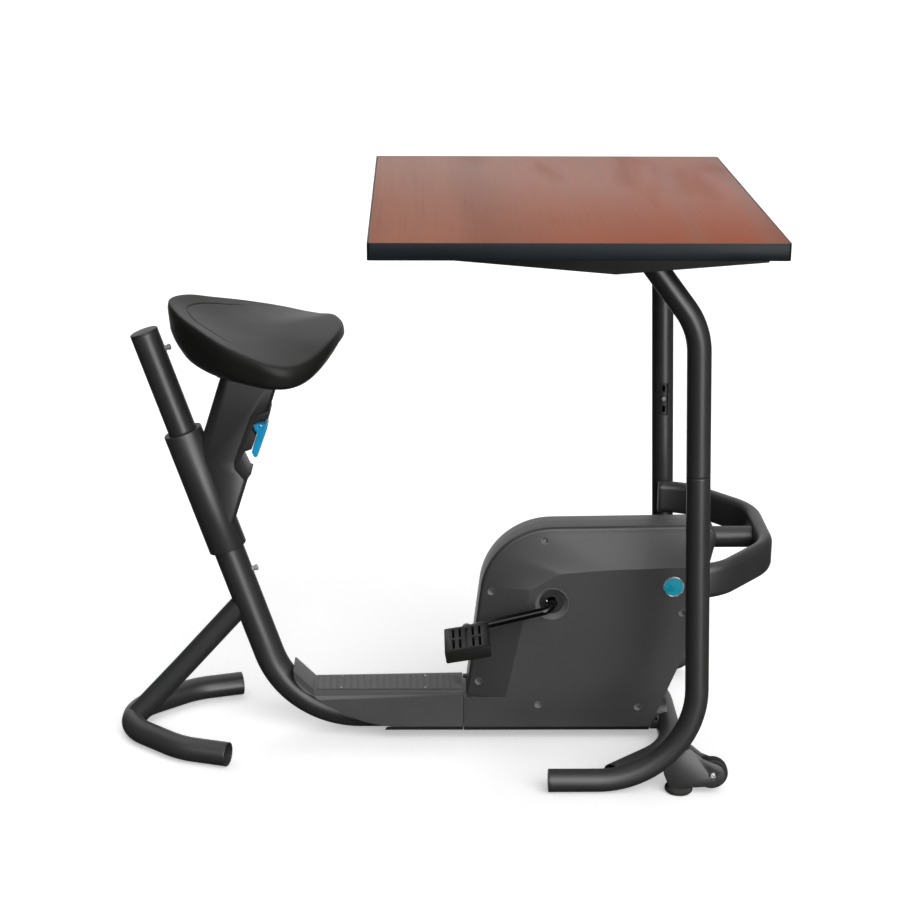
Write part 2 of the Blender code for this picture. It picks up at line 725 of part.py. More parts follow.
def rear_stab_route():
    apex = REAR_STAB_APEX + STAB_OD / 2
    high = STAB_OD / 2
    half = [(apex + REAR_STAB_END[0], REAR_STAB_END[1]), (apex + REAR_STAB_ELBOW[0], REAR_STAB_ELBOW[1]),
            (apex, REAR_STAB_APEX_HALF)]
    corners = [(x, -y, high) for x, y in half] + [(x, y, high) for x, y in reversed(half)]
    elbow, tip = REAR_STAB_BENDS
    return bent_route(corners, [elbow, tip, tip, elbow])


def brace_route():
    apex = REAR_STAB_APEX + STAB_OD / 2
    corners = [(BRACE_TOP_X, 0, BRACE_TOP_Z), (BRACE_KNEE_X, 0, BRACE_KNEE_Z), (apex, 0, STAB_OD / 2)]
    return bent_route(corners, [BRACE_BEND])


def stab_space(route):
    return rod(route, STAB_OD / 2 + GAP, Z_AXIS, FLOOR_SIDES)


def make_main_tubes():
    main = add("main_tube", tube(main_route(), MAIN_OD / 2, MAIN_OD / 2 - ROD_OD / 2 - GAP, Y_AXIS, MAIN_SIDES),
               "powder_black")
    shape(main, [stab_space(front_stab_route())])
    mast = tube([mast_point(MAIN_TOP - ROD_LAP), mast_point(ROD_TOP)], ROD_OD / 2, ROD_WALL, Y_AXIS, MAIN_SIDES)
    add("mast_rod", mast, "powder_black")
    plug_r = ROD_OD / 2 - ROD_WALL - GAP
    head = ROD_OD / 2
    profile = [(plug_r - CAP_PLUG_WALL, GAP), (plug_r - CAP_PLUG_WALL, -CAP_PLUG), (plug_r, -CAP_PLUG),
               (plug_r, GAP), (head, GAP), (head, CAP_THICK * CAP_EDGE), (head * CAP_FLAT, CAP_THICK)]
    add("mast_cap", turned(profile, mast_point(ROD_TOP), MAST_UP, MAIN_SIDES), "plastic_black")
    for name, along, od in (("stop_pin_upper", PIN_UPPER, ROD_OD), ("stop_pin_lower", PIN_LOWER, MAIN_OD)):
        base = od / 2 + GAP
        profile = [(PIN_OD / 2, base), (PIN_OD / 2, base + PIN_PROUD - 0.001),
                   (PIN_OD / 2 - 0.001, base + PIN_PROUD)]
        add(name, turned(profile, mast_point(along), MAST_FORE, SMALL_SIDES), "pin_grey")
    for name, route in (("rear_stabilizer", rear_stab_route()), ("front_stabilizer", front_stab_route())):
        add(name, tube(route, STAB_OD / 2, STAB_WALL, Z_AXIS, FLOOR_SIDES), "powder_black")
    front = bpy.data.objects["front_stabilizer"]
    for sign in SIDES.values():
        leg = lower_leg_route(sign * LEG_Y)
        shape(front, [rod(leg, LEG_OD / 2 + GAP, Y_AXIS)])
    brace = add("brace_tube", tube(brace_route(), BRACE_OD / 2, BRACE_WALL, Y_AXIS), "powder_black")
    shape(brace, [main_space(), stab_space(rear_stab_route())])


# Wheels, brackets and feet

def bracket_outline():
    eye = (WHEEL_X, WHEEL_Z)
    round_end = arc(eye, BRACKET_EYE_R, math.radians(-98), math.radians(62), 9)
    floor = [(FOOT_X - BRACKET_FLOOR_BACK, BRACKET_LOW), (FOOT_X + BRACKET_FLOOR_FRONT, BRACKET_LOW)]
    return floor + round_end + BRACKET_TOP


def make_wheels():
    half = BRACKET_SPACE / 2 + BRACKET_SHEET
    for side, sign in SIDES.items():
        y = sign * LEG_Y
        centre = (WHEEL_X, y, WHEEL_Z)
        bracket = add("wheel_bracket_" + side, prism(bracket_outline(), y - half, y + half), "powder_black")
        far, over = WHEEL_X + WHEEL_R * 3, WHEEL_Z + WHEEL_R * 3
        space = block((FOOT_X - WHEEL_R * 2, y - BRACKET_SPACE / 2, BRACKET_LOW + BRACKET_SHEET),
                      (far, y + BRACKET_SPACE / 2, over))
        front_space = block((FOOT_X + BRACKET_FLOOR_FRONT + 0.001, y - BRACKET_SPACE / 2, 0.0),
                            (far, y + BRACKET_SPACE / 2, over))
        bolt_hole = turned([(WHEEL_BOLT_OD / 2 + GAP, -half - 0.01), (WHEEL_BOLT_OD / 2 + GAP, half + 0.01)],
                           centre, Y_AXIS, 16)
        stem_hole = turned([(FOOT_STEM_R + GAP, -0.005), (FOOT_STEM_R + GAP, 0.010)],
                           (FOOT_X, y, BRACKET_LOW), Z_AXIS, 16)
        leg = rod(lower_leg_route(y), LEG_OD / 2 + GAP, Y_AXIS)
        shape(bracket, [space, front_space, leg, bolt_hole, stem_hole])
        bore = WHEEL_BOLT_OD / 2 + RUN
        flat = WHEEL_WIDE / 2
        face = [(bore, -flat), (WHEEL_R * 0.50, -flat), (WHEEL_R * 0.56, -flat * 0.75),
                (WHEEL_R * 0.80, -flat * 0.75), (WHEEL_R * 0.84, -flat), (WHEEL_R * 0.95, -flat),
                (WHEEL_R, -flat * 0.7)]
        profile = face + [(r, -place) for r, place in reversed(face)]
        tyre = turned(profile, centre, Y_AXIS, TURN_SIDES, closed=True)
        add("wheel_" + side, tyre, "plastic_black", "wheel_" + side)
        head = half + GAP
        bolt_r = WHEEL_BOLT_OD / 2
        bolt = [(bolt_r * 0.5, -head - 0.004), (bolt_r * 1.6, -head - 0.003), (bolt_r * 1.6, -head),
                (bolt_r, -head), (bolt_r, head), (bolt_r * 1.6, head), (bolt_r * 1.6, head + 0.005),
                (bolt_r * 0.5, head + 0.005)]
        add("wheel_bolt_" + side, turned(bolt, centre, Y_AXIS, SMALL_SIDES), "steel")
        seat = BRACKET_LOW - GAP
        foot = [(FOOT_R * 0.86, 0), (FOOT_R, 0.004), (FOOT_R, 0.008), (FOOT_R * 0.88, seat),
                (FOOT_STEM_R, seat), (FOOT_STEM_R, FOOT_STEM_TOP)]
        add("levelling_foot_" + side, turned(foot, (FOOT_X, y, 0), Z_AXIS, 24), "rubber_black")


# Shroud

def lerp(a, b, share):
    return (a[0] + (b[0] - a[0]) * share, a[1] + (b[1] - a[1]) * share)


def even_points(line, count):
    """Points spaced evenly along an open line, both ends kept."""
    lengths = [math.dist(a, b) for a, b in zip(line, line[1:])]
    total = sum(lengths)
    points = []
    for k in range(count + 1):
        left = total * k / count
        for a, b, length in zip(line, line[1:], lengths):
            if left <= length + 1e-9:
                points.append(lerp(a, b, left / length))
                break
            left -= length
    return points


def flat_bend(corners, bends, step=math.radians(10)):
    flat = [(x, z, 0) for x, z in corners]
    return [point.xy.to_tuple() for point in bent_route(flat, bends, step)]


BORDER_PIECES = (3, 8, 3, 6)    # back edge, rear corner, top, front corner with the edge below it
EDGE_PIECES = (4, 2, 2)         # lower front, underside, tail and ledge


def shroud_ring(panel, inset, edge_inset):
    """The shroud seen from the side. panel is the raised face, otherwise the outer rim."""
    low, back = SHROUD_LOW + edge_inset, SHROUD_BACK + edge_inset
    front_low = (SHROUD_FRONT_LOW - edge_inset, low)
    front_knee = (SHROUD_FRONT_KNEE[0] - edge_inset, SHROUD_FRONT_KNEE[1])
    front_high = (SHROUD_FRONT_HIGH[0] - inset, SHROUD_FRONT_HIGH[1])
    if panel:
        border = [[(CREASE_FOOT_X, SHROUD_LEDGE - inset), CREASE_BACK],
                  flat_bend([CREASE_BACK, CREASE_CORNER, CREASE_TOP], [CREASE_BEND]),
                  [CREASE_TOP, CREASE_FRONT],
                  [CREASE_FRONT, front_high]]
    else:
        top_back = (SHROUD_TOP_BACK_X + inset, SHROUD_TOP_BACK - inset)
        top_front = (SHROUD_TOP_FRONT_X - inset, SHROUD_TOP_FRONT - inset)
        foot = (SHROUD_RIM_BACK + inset, SHROUD_LEDGE - inset)
        rear = flat_bend([foot, top_back, top_front], [SHROUD_TOP_BACK_BEND - inset])
        nose = flat_bend([top_back, top_front, front_high], [SHROUD_TOP_FRONT_BEND - inset])
        border = [rear[:2], rear[1:-1], [rear[-2], nose[1]], nose[1:]]
    points = []
    for line, count in zip(border, BORDER_PIECES):
        points += even_points(line, count)[:-1]
    front = flat_bend([front_high, front_knee, front_low], [SHROUD_KNEE_BEND])
    points += even_points(front, EDGE_PIECES[0])[:-1]
    points += even_points([front_low, (back, low)], EDGE_PIECES[1])[:-1]
    tail = [(back, low), (back, SHROUD_LEDGE - edge_inset)]
    points += even_points(tail, EDGE_PIECES[2])
    return points


def shroud_rings(sign, shrink):
    """Rings from the middle plane out to the raised face. shrink makes the inner wall."""
    half, rim = SHROUD_HALF - shrink, RIM_HALF - shrink
    levels = [(False, 0, GAP if not shrink else 0.0), (False, 0, rim - RIM_ROLL),
              (False, RIM_ROLL * 0.3, rim - RIM_ROLL * 0.3), (False, RIM_ROLL, rim), (True, PANEL_INSET, half)]
    rings = []
    for panel, inset, y in levels:
        outline = shroud_ring(panel, shrink + inset, shrink + (PANEL_INSET if panel else 0))
        rings.append([Vector((x, sign * y, z)) for x, z in outline])
    return rings


def make_shroud():
    for side, sign in SIDES.items():
        outer = skin(shroud_rings(sign, 0.0))
        half = add("shroud_" + side, outer, "shroud_grey", smooth=25)
        rings = shroud_rings(sign, SHROUD_WALL)
        rings[0] = [Vector((point.x, -sign * 0.002, point.z)) for point in rings[0]]
        hollow = skin(rings)
        tools = [hollow,
                 turned([(HUB_WINDOW_R + GAP, 0), (HUB_WINDOW_R + GAP, 0.08)], (CRANK_X, 0, CRANK_Z),
                        Y_AXIS * sign, TURN_SIDES),
                 rod(main_route(), MAIN_OD / 2 + SHROUD_AIR, Y_AXIS, MAIN_SIDES),
                 rod([Vector((POST_HEAD_X, 0, BAR_HIGH)), Vector((BAR_FRONT, 0, BAR_HIGH))],
                     NECK_OD / 2 + SHROUD_AIR, Y_AXIS, MAIN_SIDES)]
        shape(half, tools, smooth=25)
        face = SHROUD_HALF
        cup = [(HUB_BORE_R, face - HUB_DEPTH), (HUB_BORE_R, face - HUB_DEPTH - HUB_SHEET),
               (HUB_WINDOW_R, face - HUB_DEPTH - HUB_SHEET), (HUB_WINDOW_R, face),
               (HUB_WINDOW_R - HUB_SHEET, face), (HUB_WINDOW_R - HUB_SHEET, face - HUB_DEPTH)]
        cup_mesh = turned(cup, (CRANK_X, 0, CRANK_Z), Y_AXIS * sign, TURN_SIDES, closed=True)
        add("hub_cup_" + side, cup_mesh, "cover_grey")


# Base cover

def cover_section(x, rise, edge):
    """One station of the cover across the bike, open underneath."""
    wall = COVER_WALL
    side_top, shoulder, deck = edge["side_top"] + rise, edge["shoulder"] + rise, COVER_DECK + rise
    outer = [(-COVER_HALF, SHROUD_LOW), (-COVER_HALF, side_top),
             (-edge["shoulder_half"], shoulder), (-edge["deck_half"], deck)]
    inner = [(-edge["deck_half"] + wall / 3, deck - wall),
             (-edge["shoulder_half"] + wall * 0.8, shoulder - wall * 0.7),
             (-COVER_HALF + wall, side_top - wall * 0.3), (-COVER_HALF + wall, SHROUD_LOW)]
    outer += [(-y, z) for y, z in reversed(outer)]
    inner = [(-y, z) for y, z in reversed(inner)] + inner
    return [Vector((x, y, z)) for y, z in outer + inner]


def cover_rib_outline():
    half = [(-COVER_HALF + COVER_WALL / 2, SHROUD_LOW + 0.004),
            (-COVER_HALF + COVER_WALL / 2, COVER_SIDE_TOP - COVER_WALL * 0.2),
            (-COVER_SHOULDER_HALF + COVER_WALL * 0.4, COVER_SHOULDER - COVER_WALL * 0.4),
            (-COVER_DECK_HALF, COVER_DECK - COVER_WALL / 2)]
    return half + [(-y, z) for y, z in reversed(half)]


def make_cover():
    front = SHROUD_BACK - GAP
    back = {"deck_half": COVER_DECK_HALF, "shoulder_half": COVER_SHOULDER_HALF, "shoulder": COVER_SHOULDER,
            "side_top": COVER_SIDE_TOP}
    stations = [cover_section(front, 0, COVER_FRONT), cover_section(RAMP_FOOT, 0, back),
                cover_section(RAMP_HEAD, RAMP_RISE, back)]
    cover = add("base_cover", skin(stations), "cover_grey")
    ribs = [prism(cover_rib_outline(), place, place + COVER_RIB, u=Y_AXIS, v=Z_AXIS, w=X_AXIS)
            for place in COVER_RIB_PLACES]
    shape(cover, ribs, "UNION")
    curve = flat_bend(COVER_CUT, COVER_CUT_BENDS)
    trim = prism(curve + [(RAMP_HEAD - 0.1, COVER_CUT[-1][1]), (RAMP_HEAD - 0.1, 0)], -0.1, 0.1)
    shape(cover, [trim, main_space()])

    base = COVER_DECK + GAP
    start, end = RAMP_FOOT + TREAD_PITCH / 3, front - TREAD_PITCH / 3
    count = int((end - start) / TREAD_PITCH)
    outline = [(start, base), (end, base), (end, base + TREAD_BASE)]
    for k in reversed(range(count)):
        left = start + (k + 0.5) * TREAD_PITCH - TREAD_RIB_WIDE / 2
        right = left + TREAD_RIB_WIDE
        outline += [(right, base + TREAD_BASE), (right, base + TREAD_BASE + TREAD_RIB),
                    (left, base + TREAD_BASE + TREAD_RIB), (left, base + TREAD_BASE)]
    outline.append((start, base + TREAD_BASE))
    add("tread_strip", prism(outline, -TREAD_HALF, TREAD_HALF), "tread_grey")


# Crank, pedals and drive

CRANK_WAY = Vector((-math.cos(CRANK_DROP), 0, -math.sin(CRANK_DROP)))
CRANK_MID = Vector((CRANK_X, 0, CRANK_Z))


def pedal_axis(sign):
    """Where the pedal's spindle crosses the middle plane. The right pedal is behind the axle."""
    return CRANK_MID - CRANK_WAY * (sign * CRANK_LENGTH)


for side, sign in SIDES.items():
    PIVOTS["pedal_" + side] = pedal_axis(sign) + Y_AXIS * (sign * PEDAL_MID_Y)


def make_crank():
    corners = [pedal_axis(-1) - Y_AXIS * CRANK_ARM_Y, CRANK_MID - Y_AXIS * CRANK_ARM_Y,
               CRANK_MID + Y_AXIS * CRANK_ARM_Y, pedal_axis(1) + Y_AXIS * CRANK_ARM_Y]
    plane = CRANK_WAY.cross(Y_AXIS)
    bar = add("crank", rod(bent_route(corners, [CRANK_BEND, CRANK_BEND]), CRANK_BAR_OD / 2, plane, 14),
              "crank_black", "crank")
    half = CRANK_EYE_WIDE / 2
    hole = SPINDLE_OD / 2 + GAP
    centres = [pedal_axis(sign) + Y_AXIS * (sign * CRANK_ARM_Y) for sign in SIDES.values()]
    shape(bar, [turned([(CRANK_EYE_R, -half), (CRANK_EYE_R, half)], centre, Y_AXIS, 20)
                for centre in centres], "UNION")
    shape(bar, [turned([(hole, -half - 0.01), (hole, half + 0.01)], centre, Y_AXIS, 16)
                for centre in centres])


def pedal_slot(centre, u, v, middle, low, high, start, end):
    """A groove along the pedal from start to end, cut between two heights above its middle."""
    outline = [(middle - PEDAL_GROOVE / 2, low), (middle + PEDAL_GROOVE / 2, low),
               (middle + PEDAL_GROOVE / 2, high), (middle - PEDAL_GROOVE / 2, high)]
    return prism(outline, start, end, centre, u, v)


def make_pedals():
    u = Vector((math.cos(PEDAL_TILT), 0, math.sin(PEDAL_TILT)))
    v = Vector((-math.sin(PEDAL_TILT), 0, math.cos(PEDAL_TILT)))
    half_long, half_wide, half_thick = PEDAL_LONG / 2, PEDAL_WIDE / 2, PEDAL_THICK / 2
    bore = SPINDLE_OD / 2 + RUN
    flange = CRANK_ARM_Y + CRANK_EYE_WIDE / 2 + GAP
    inner_face = PEDAL_MID_Y - half_wide
    for side, sign in SIDES.items():
        centre = PIVOTS["pedal_" + side]
        outline = rounded([(-half_long, -half_thick), (half_long, -half_thick), (half_long, half_thick),
                           (-half_long, half_thick)], PEDAL_ROUND, math.radians(30))
        body = "pedal_" + side
        pedal = add(body, prism(outline, -half_wide, half_wide, centre, u, v), "plastic_black", body)
        step = PEDAL_GROOVE + PEDAL_RIB
        floor = half_thick - PEDAL_GROOVE_DEEP
        beyond = half_thick + 0.005
        tools = []
        reach = half_wide - PEDAL_RIM
        tools.append(pedal_slot(centre, u, v, 0, floor, beyond, -reach, reach))
        tools.append(pedal_slot(centre, u, v, 0, -beyond, -floor, -reach, reach))
        for place in (-2, -1, 1, 2):
            tools.append(pedal_slot(centre, u, v, place * step, -beyond, beyond, -reach, -PEDAL_WEB / 2))
            tools.append(pedal_slot(centre, u, v, place * step, -beyond, beyond, PEDAL_WEB / 2, reach))
        tools.append(turned([(bore, -half_wide - 0.005), (bore, half_wide - PEDAL_RIM / 2)], centre,
                            Y_AXIS * sign, 16))
        shape(pedal, tools)
        origin = pedal_axis(sign)
        r = SPINDLE_OD / 2
        end = PEDAL_MID_Y + half_wide - PEDAL_RIM / 2 - RUN
        profile = [(r, CRANK_ARM_Y - CRANK_EYE_WIDE / 2), (r, flange), (r * 1.7, flange),
                   (r * 1.7, inner_face - GAP), (r, inner_face - GAP), (r, end)]
        add("pedal_spindle_" + side, turned(profile, origin, Y_AXIS * sign, 16), "steel", "crank")


def pulley_profile(radius, bore, hub, web):
    """A flat-belt pulley with a lip on each side of its belt."""
    half = BELT_WIDE / 2 + PULLEY_SIDE
    groove = BELT_WIDE / 2 + GAP
    rim = radius - PULLEY_RIM
    if rim <= hub:
        half_side = [(bore, -half), (radius + PULLEY_LIP, -half), (radius + PULLEY_LIP, -groove), (radius, -groove)]
    else:
        half_side = [(bore, -half), (hub, -half), (hub, -web / 2), (rim, -web / 2), (rim, -half),
                     (radius + PULLEY_LIP, -half), (radius + PULLEY_LIP, -groove), (radius, -groove)]
    return half_side + [(r, -place) for r, place in reversed(half_side)]


def belt_outline(extra):
    """A loop round both pulleys, extra outside their belt faces."""
    big, small = (CRANK_X, CRANK_Z), (FLYWHEEL_X, FLYWHEEL_Z)
    span = math.dist(big, small)
    heading = math.atan2(small[1] - big[1], small[0] - big[0])
    wrap = math.acos((DRIVE_PULLEY_R - SMALL_PULLEY_R) / span)
    return (arc(big, DRIVE_PULLEY_R + extra, heading + wrap, heading + math.tau - wrap, 28)
            + arc(small, SMALL_PULLEY_R + extra, heading - wrap, heading + wrap, 8))


def make_drive():
    belt_mid = Vector((CRANK_X, BELT_Y, CRANK_Z))
    bore = CRANK_BAR_OD / 2 + GAP
    add("drive_pulley", turned(pulley_profile(DRIVE_PULLEY_R, bore, PULLEY_HUB_R, PULLEY_WEB), belt_mid, Y_AXIS,
                               TURN_SIDES, closed=True), "plastic_black", "crank")
    fly_mid = Vector((FLYWHEEL_X, 0, FLYWHEEL_Z))
    shaft_bore = FLY_AXLE_OD / 2 + GAP
    small = turned(pulley_profile(SMALL_PULLEY_R, shaft_bore, SMALL_PULLEY_R, 0), fly_mid + Y_AXIS * BELT_Y,
                   Y_AXIS, SMALL_SIDES, closed=True)
    add("flywheel_pulley", small, "steel", "flywheel")
    half = FLYWHEEL_WIDE / 2
    side = [(shaft_bore, -half), (FLYWHEEL_HUB_R, -half), (FLYWHEEL_HUB_R, -FLYWHEEL_WEB / 2),
            (FLYWHEEL_R - FLYWHEEL_RIM, -FLYWHEEL_WEB / 2), (FLYWHEEL_R - FLYWHEEL_RIM, -half), (FLYWHEEL_R, -half)]
    profile = side + [(r, -place) for r, place in reversed(side)]
    add("flywheel", turned(profile, fly_mid, Y_AXIS, TURN_SIDES, closed=True), "cast_grey", "flywheel")
    shaft_ends = (-half - FORK_SPACE - FORK_SHEET - SHAFT_PROUD, BELT_Y + BELT_WIDE / 2 + SHAFT_PROUD)
    shaft = [(FLY_AXLE_OD / 2, place) for place in shaft_ends]
    add("flywheel_shaft", turned(shaft, fly_mid, Y_AXIS, SMALL_SIDES), "steel", "flywheel")
    loops = []
    low, high = BELT_Y - BELT_WIDE / 2, BELT_Y + BELT_WIDE / 2
    for extra, y in ((GAP + BELT_THICK, low), (GAP + BELT_THICK, high), (GAP, high), (GAP, low)):
        loops.append([Vector((x, y, z)) for x, z in belt_outline(extra)])
    add("drive_belt", skin(loops, closed=True), "rubber_black")


def make_drive_frame():
    half = FLYWHEEL_WIDE / 2 + FORK_SPACE + FORK_SHEET
    inner = FLYWHEEL_WIDE / 2 + FORK_SPACE
    eye = arc((FLYWHEEL_X, FLYWHEEL_Z), FORK_EYE_R, 0, math.pi, 8)
    outline = [(FLYWHEEL_X - FORK_HALF_LONG, MAIN_HIGH), (FLYWHEEL_X + FORK_HALF_LONG, MAIN_HIGH)] + eye
    fork = add("flywheel_fork", prism(outline, -half, half), "powder_black")
    saddle_top = MAIN_HIGH + MAIN_OD / 2 + FORK_SADDLE
    space = block((FLYWHEEL_X - 0.05, -inner, saddle_top), (FLYWHEEL_X + 0.05, inner, FLYWHEEL_Z + 0.05))
    axle = FLY_AXLE_OD / 2 + RUN
    hole = turned([(axle, -half - 0.01), (axle, half + 0.01)], (FLYWHEEL_X, 0, FLYWHEEL_Z), Y_AXIS, 20)
    shape(fork, [space, hole, main_space()])

    shell = add("bottom_bracket", turned([(SHELL_OD / 2, -SHELL_HALF), (SHELL_OD / 2, SHELL_HALF)],
                                         CRANK_MID, Y_AXIS, TURN_SIDES), "powder_black")
    strut = [Vector((CRANK_X, 0, MAIN_HIGH)), CRANK_MID]
    shape(shell, [rod(strut, POST_OD / 2, Y_AXIS)], "UNION")
    bore = SHELL_OD / 2 - SHELL_WALL
    strut_bore = [strut[0], CRANK_MID - Z_AXIS * (SHELL_OD / 2 + SHELL_WALL)]
    shape(shell, [turned([(bore, -SHELL_HALF - 0.01), (bore, SHELL_HALF + 0.01)], CRANK_MID, Y_AXIS, TURN_SIDES),
                  rod(strut_bore, POST_OD / 2 - POST_WALL, Y_AXIS), main_space()])
    for side, sign in SIDES.items():
        ring = washer(CRANK_BAR_OD / 2 + RUN, bore - GAP, SHELL_HALF - BEARING_WIDE, SHELL_HALF,
                      CRANK_MID, Y_AXIS * sign, TURN_SIDES)
        add("crank_bearing_" + side, ring, "steel")

    start, end = post_route()
    way = (end - start).normalized()
    centre = Vector((FLYWHEEL_X, 0, FLYWHEEL_Z))
    foot = start + way * (centre - start).dot(way)
    reach = foot - centre
    outer = reach.length - POST_OD / 2 - GAP
    heading = math.atan2(reach.z, reach.x)
    flat = (FLYWHEEL_X, FLYWHEEL_Z)
    shoe = (arc(flat, outer, heading - BRAKE_SWEEP / 2, heading + BRAKE_SWEEP / 2, 8)
            + arc(flat, FLYWHEEL_R + BRAKE_AIR, heading + BRAKE_SWEEP / 2, heading - BRAKE_SWEEP / 2, 8))
    add("magnet_brake", prism(shoe, -FLYWHEEL_WIDE / 2, FLYWHEEL_WIDE / 2), "steel")


# Seat carriage

def make_carriage():
    r, c = SLEEVE_OD / 2, SLEEVE_CHAMFER
    inner = r - SLEEVE_WALL
    low = mast_point(SLEEVE_LOW)
    profile = [(inner, 0), (r - c, 0), (r, c), (r, SLEEVE_LONG - c), (r - c, SLEEVE_LONG), (inner, SLEEVE_LONG)]
    add("seat_sleeve", turned(profile, low, MAST_UP, MAIN_SIDES, closed=True), "powder_black", "carriage")
    for name, start, od in (("bush_lower", 0, MAIN_OD), ("bush_upper", SLEEVE_LONG - BUSH_LONG, ROD_OD)):
        ring = washer(od / 2 + RUN, inner - GAP, start, start + BUSH_LONG, low, MAST_UP, MAIN_SIDES)
        add(name, ring, "plastic_black", "carriage")

    half_wide, half_thick = COLUMN_WIDE / 2, COLUMN_THICK / 2
    corners = [(-half_wide, -half_thick), (half_wide, -half_thick), (half_wide, half_thick),
               (-half_wide, half_thick)]
    rounds = [COLUMN_REAR_ROUND, COLUMN_FRONT_ROUND, COLUMN_FRONT_ROUND, COLUMN_REAR_ROUND]
    outline = rounded(corners, rounds)
    wall = COLUMN_WALL
    core_corners = [(math.copysign(abs(x) - wall, x), math.copysign(abs(y) - wall, y)) for x, y in corners]
    core_outline = rounded(core_corners, [radius - wall for radius in rounds])
    top = COLUMN_TOP - COLUMN_Z + COLUMN_WIDE
    column = add("seat_column", prism(outline, -COLUMN_REACH, top, COLUMN_MID, COLUMN_FORE, Y_AXIS, COLUMN_UP),
                 "powder_black", "carriage")
    core = prism(core_outline, -COLUMN_REACH - 0.01, top + 0.01, COLUMN_MID, COLUMN_FORE, Y_AXIS, COLUMN_UP)
    above = block((COLUMN_X - 0.3, -0.1, COLUMN_TOP), (COLUMN_X + 0.3, 0.1, COLUMN_TOP + 0.4))
    pieces = MAIN_SIDES // 2
    hold = (r + GAP) / math.cos(math.pi / MAIN_SIDES)
    behind = arc((0, 0), hold, -math.pi / 2, math.pi / 2, pieces) + [(-0.4, hold), (-0.4, -hold)]
    mast_space = prism(behind, -0.3, 0.8, mast_point(0), MAST_FORE, Y_AXIS, MAST_UP)
    pocket = rounded([grow(HOUSING_OUTLINE, k, GAP) for k in range(len(HOUSING_OUTLINE))], HOUSING_ROUNDS)
    housing_space = prism(pocket, -0.1, 0.1, COLUMN_MID, COLUMN_FORE, COLUMN_UP, Y_AXIS)
    shape(column, [core, above, mast_space, housing_space])

    top_x = COLUMN_X + math.tan(COLUMN_LEAN) * (COLUMN_TOP - COLUMN_Z)
    half_long, half_wide = PLATE_LONG / 2, PLATE_WIDE / 2
    plate = rounded([(top_x - half_long, -half_wide), (top_x + half_long, -half_wide),
                     (top_x + half_long, half_wide), (top_x - half_long, half_wide)], 0.02)
    low_z = COLUMN_TOP + GAP
    add("seat_plate", prism(plate, low_z, low_z + PLATE_THICK, v=Y_AXIS, w=Z_AXIS), "powder_black", "carriage")


def grow(outline, index, extra):
    """A corner of an outline, moved outwards by extra from both of its sides."""
    count = len(outline)
    before, corner, after = (Vector(outline[(index + k) % count]) for k in (-1, 0, 1))
    way_in, way_out = (corner - before).normalized(), (after - corner).normalized()
    area = sum(a[0] * b[1] - b[0] * a[1] for a, b in zip(outline, outline[1:] + outline[:1]))
    hand = 1 if area > 0 else -1
    normals = [Vector((way.y, -way.x)) * hand for way in (way_in, way_out)]
    bisector = (normals[0] + normals[1]).normalized()
    return tuple(corner + bisector * (extra / bisector.dot(normals[0])))


def make_lever():
    frame = {"origin": COLUMN_MID, "u": COLUMN_FORE, "v": COLUMN_UP, "w": Y_AXIS}
    half = COLUMN_THICK / 2 + HOUSING_PROUD
    pin_at = column_point(LEVER_PIN_ALONG, LEVER_PIN_ACROSS)
    housing = prism(rounded(HOUSING_OUTLINE, HOUSING_ROUNDS), -half, half, **frame)
    housing = add("lever_housing", housing, "plastic_black", "carriage")
    notch = prism(rounded(NOTCH_OUTLINE, NOTCH_ROUNDS), -half - 0.01, half + 0.01, **frame)
    shape(housing, [notch])
    pin = (LEVER_PIN_ACROSS, LEVER_PIN_ALONG)
    eye = arc(pin, LUG_R, -math.pi / 2, math.pi / 2, 8)
    lug = [(LUG_ROOT, LEVER_PIN_ALONG - LUG_R)] + eye + [(LUG_ROOT, LEVER_PIN_ALONG + LUG_R)]
    shape(housing, [prism(lug, -LUG_HALF, LUG_HALF, **frame)], "UNION")
    hole = LEVER_PIN_OD / 2 + GAP
    shape(housing, [turned([(hole, -0.02), (hole, 0.02)], pin_at, Y_AXIS, 16)])
    r = LEVER_PIN_OD / 2
    add("lever_pin", turned([(r, -LEVER_HALF + 0.001), (r, LEVER_HALF - 0.001)], pin_at, Y_AXIS, 16), "steel",
        "carriage")
    lever = prism(rounded(LEVER_OUTLINE, LEVER_ROUNDS), -LEVER_HALF, LEVER_HALF, **frame)
    lever = add("release_lever", lever, "lever_blue", "lever")
    slot = LUG_HALF + RUN
    low, high = LEVER_PIN_ALONG - LUG_R - 0.002, LEVER_PIN_ALONG + LUG_R + 0.006
    reach = LEVER_PIN_ACROSS + LUG_R + 0.0012
    middle = [(LUG_ROOT, low), (reach, low), (reach, high), (LUG_ROOT, high)]
    bore = LEVER_PIN_OD / 2 + RUN
    shape(lever, [prism(middle, -slot, slot, **frame),
                  turned([(bore, -LEVER_HALF - 0.01), (bore, LEVER_HALF + 0.01)], pin_at, Y_AXIS, 16)])


# Saddle

def smooth_line(points, count):
    """Evenly numbered points on a smooth curve through the given ones, both ends kept."""
    rows = [Vector(point) for point in points]
    result = []
    for k in range(count + 1):
        place = (len(rows) - 3) * k / count
        index = min(int(place), len(rows) - 4)
        t = place - index
        a, b, c, d = rows[index:index + 4]
        result.append(0.5 * ((2 * b) + (c - a) * t + (2 * a - 5 * b + 4 * c - d) * t * t
                             + (3 * b - a - 3 * c + d) * t ** 3))
    return result


def spine_height(x):
    for (x1, z1), (x2, z2) in zip(SEAT_SPINE, SEAT_SPINE[1:]):
        if x <= x2:
            return z1 + (z2 - z1) * (x - x1) / (x2 - x1)
    return SEAT_SPINE[-1][1]


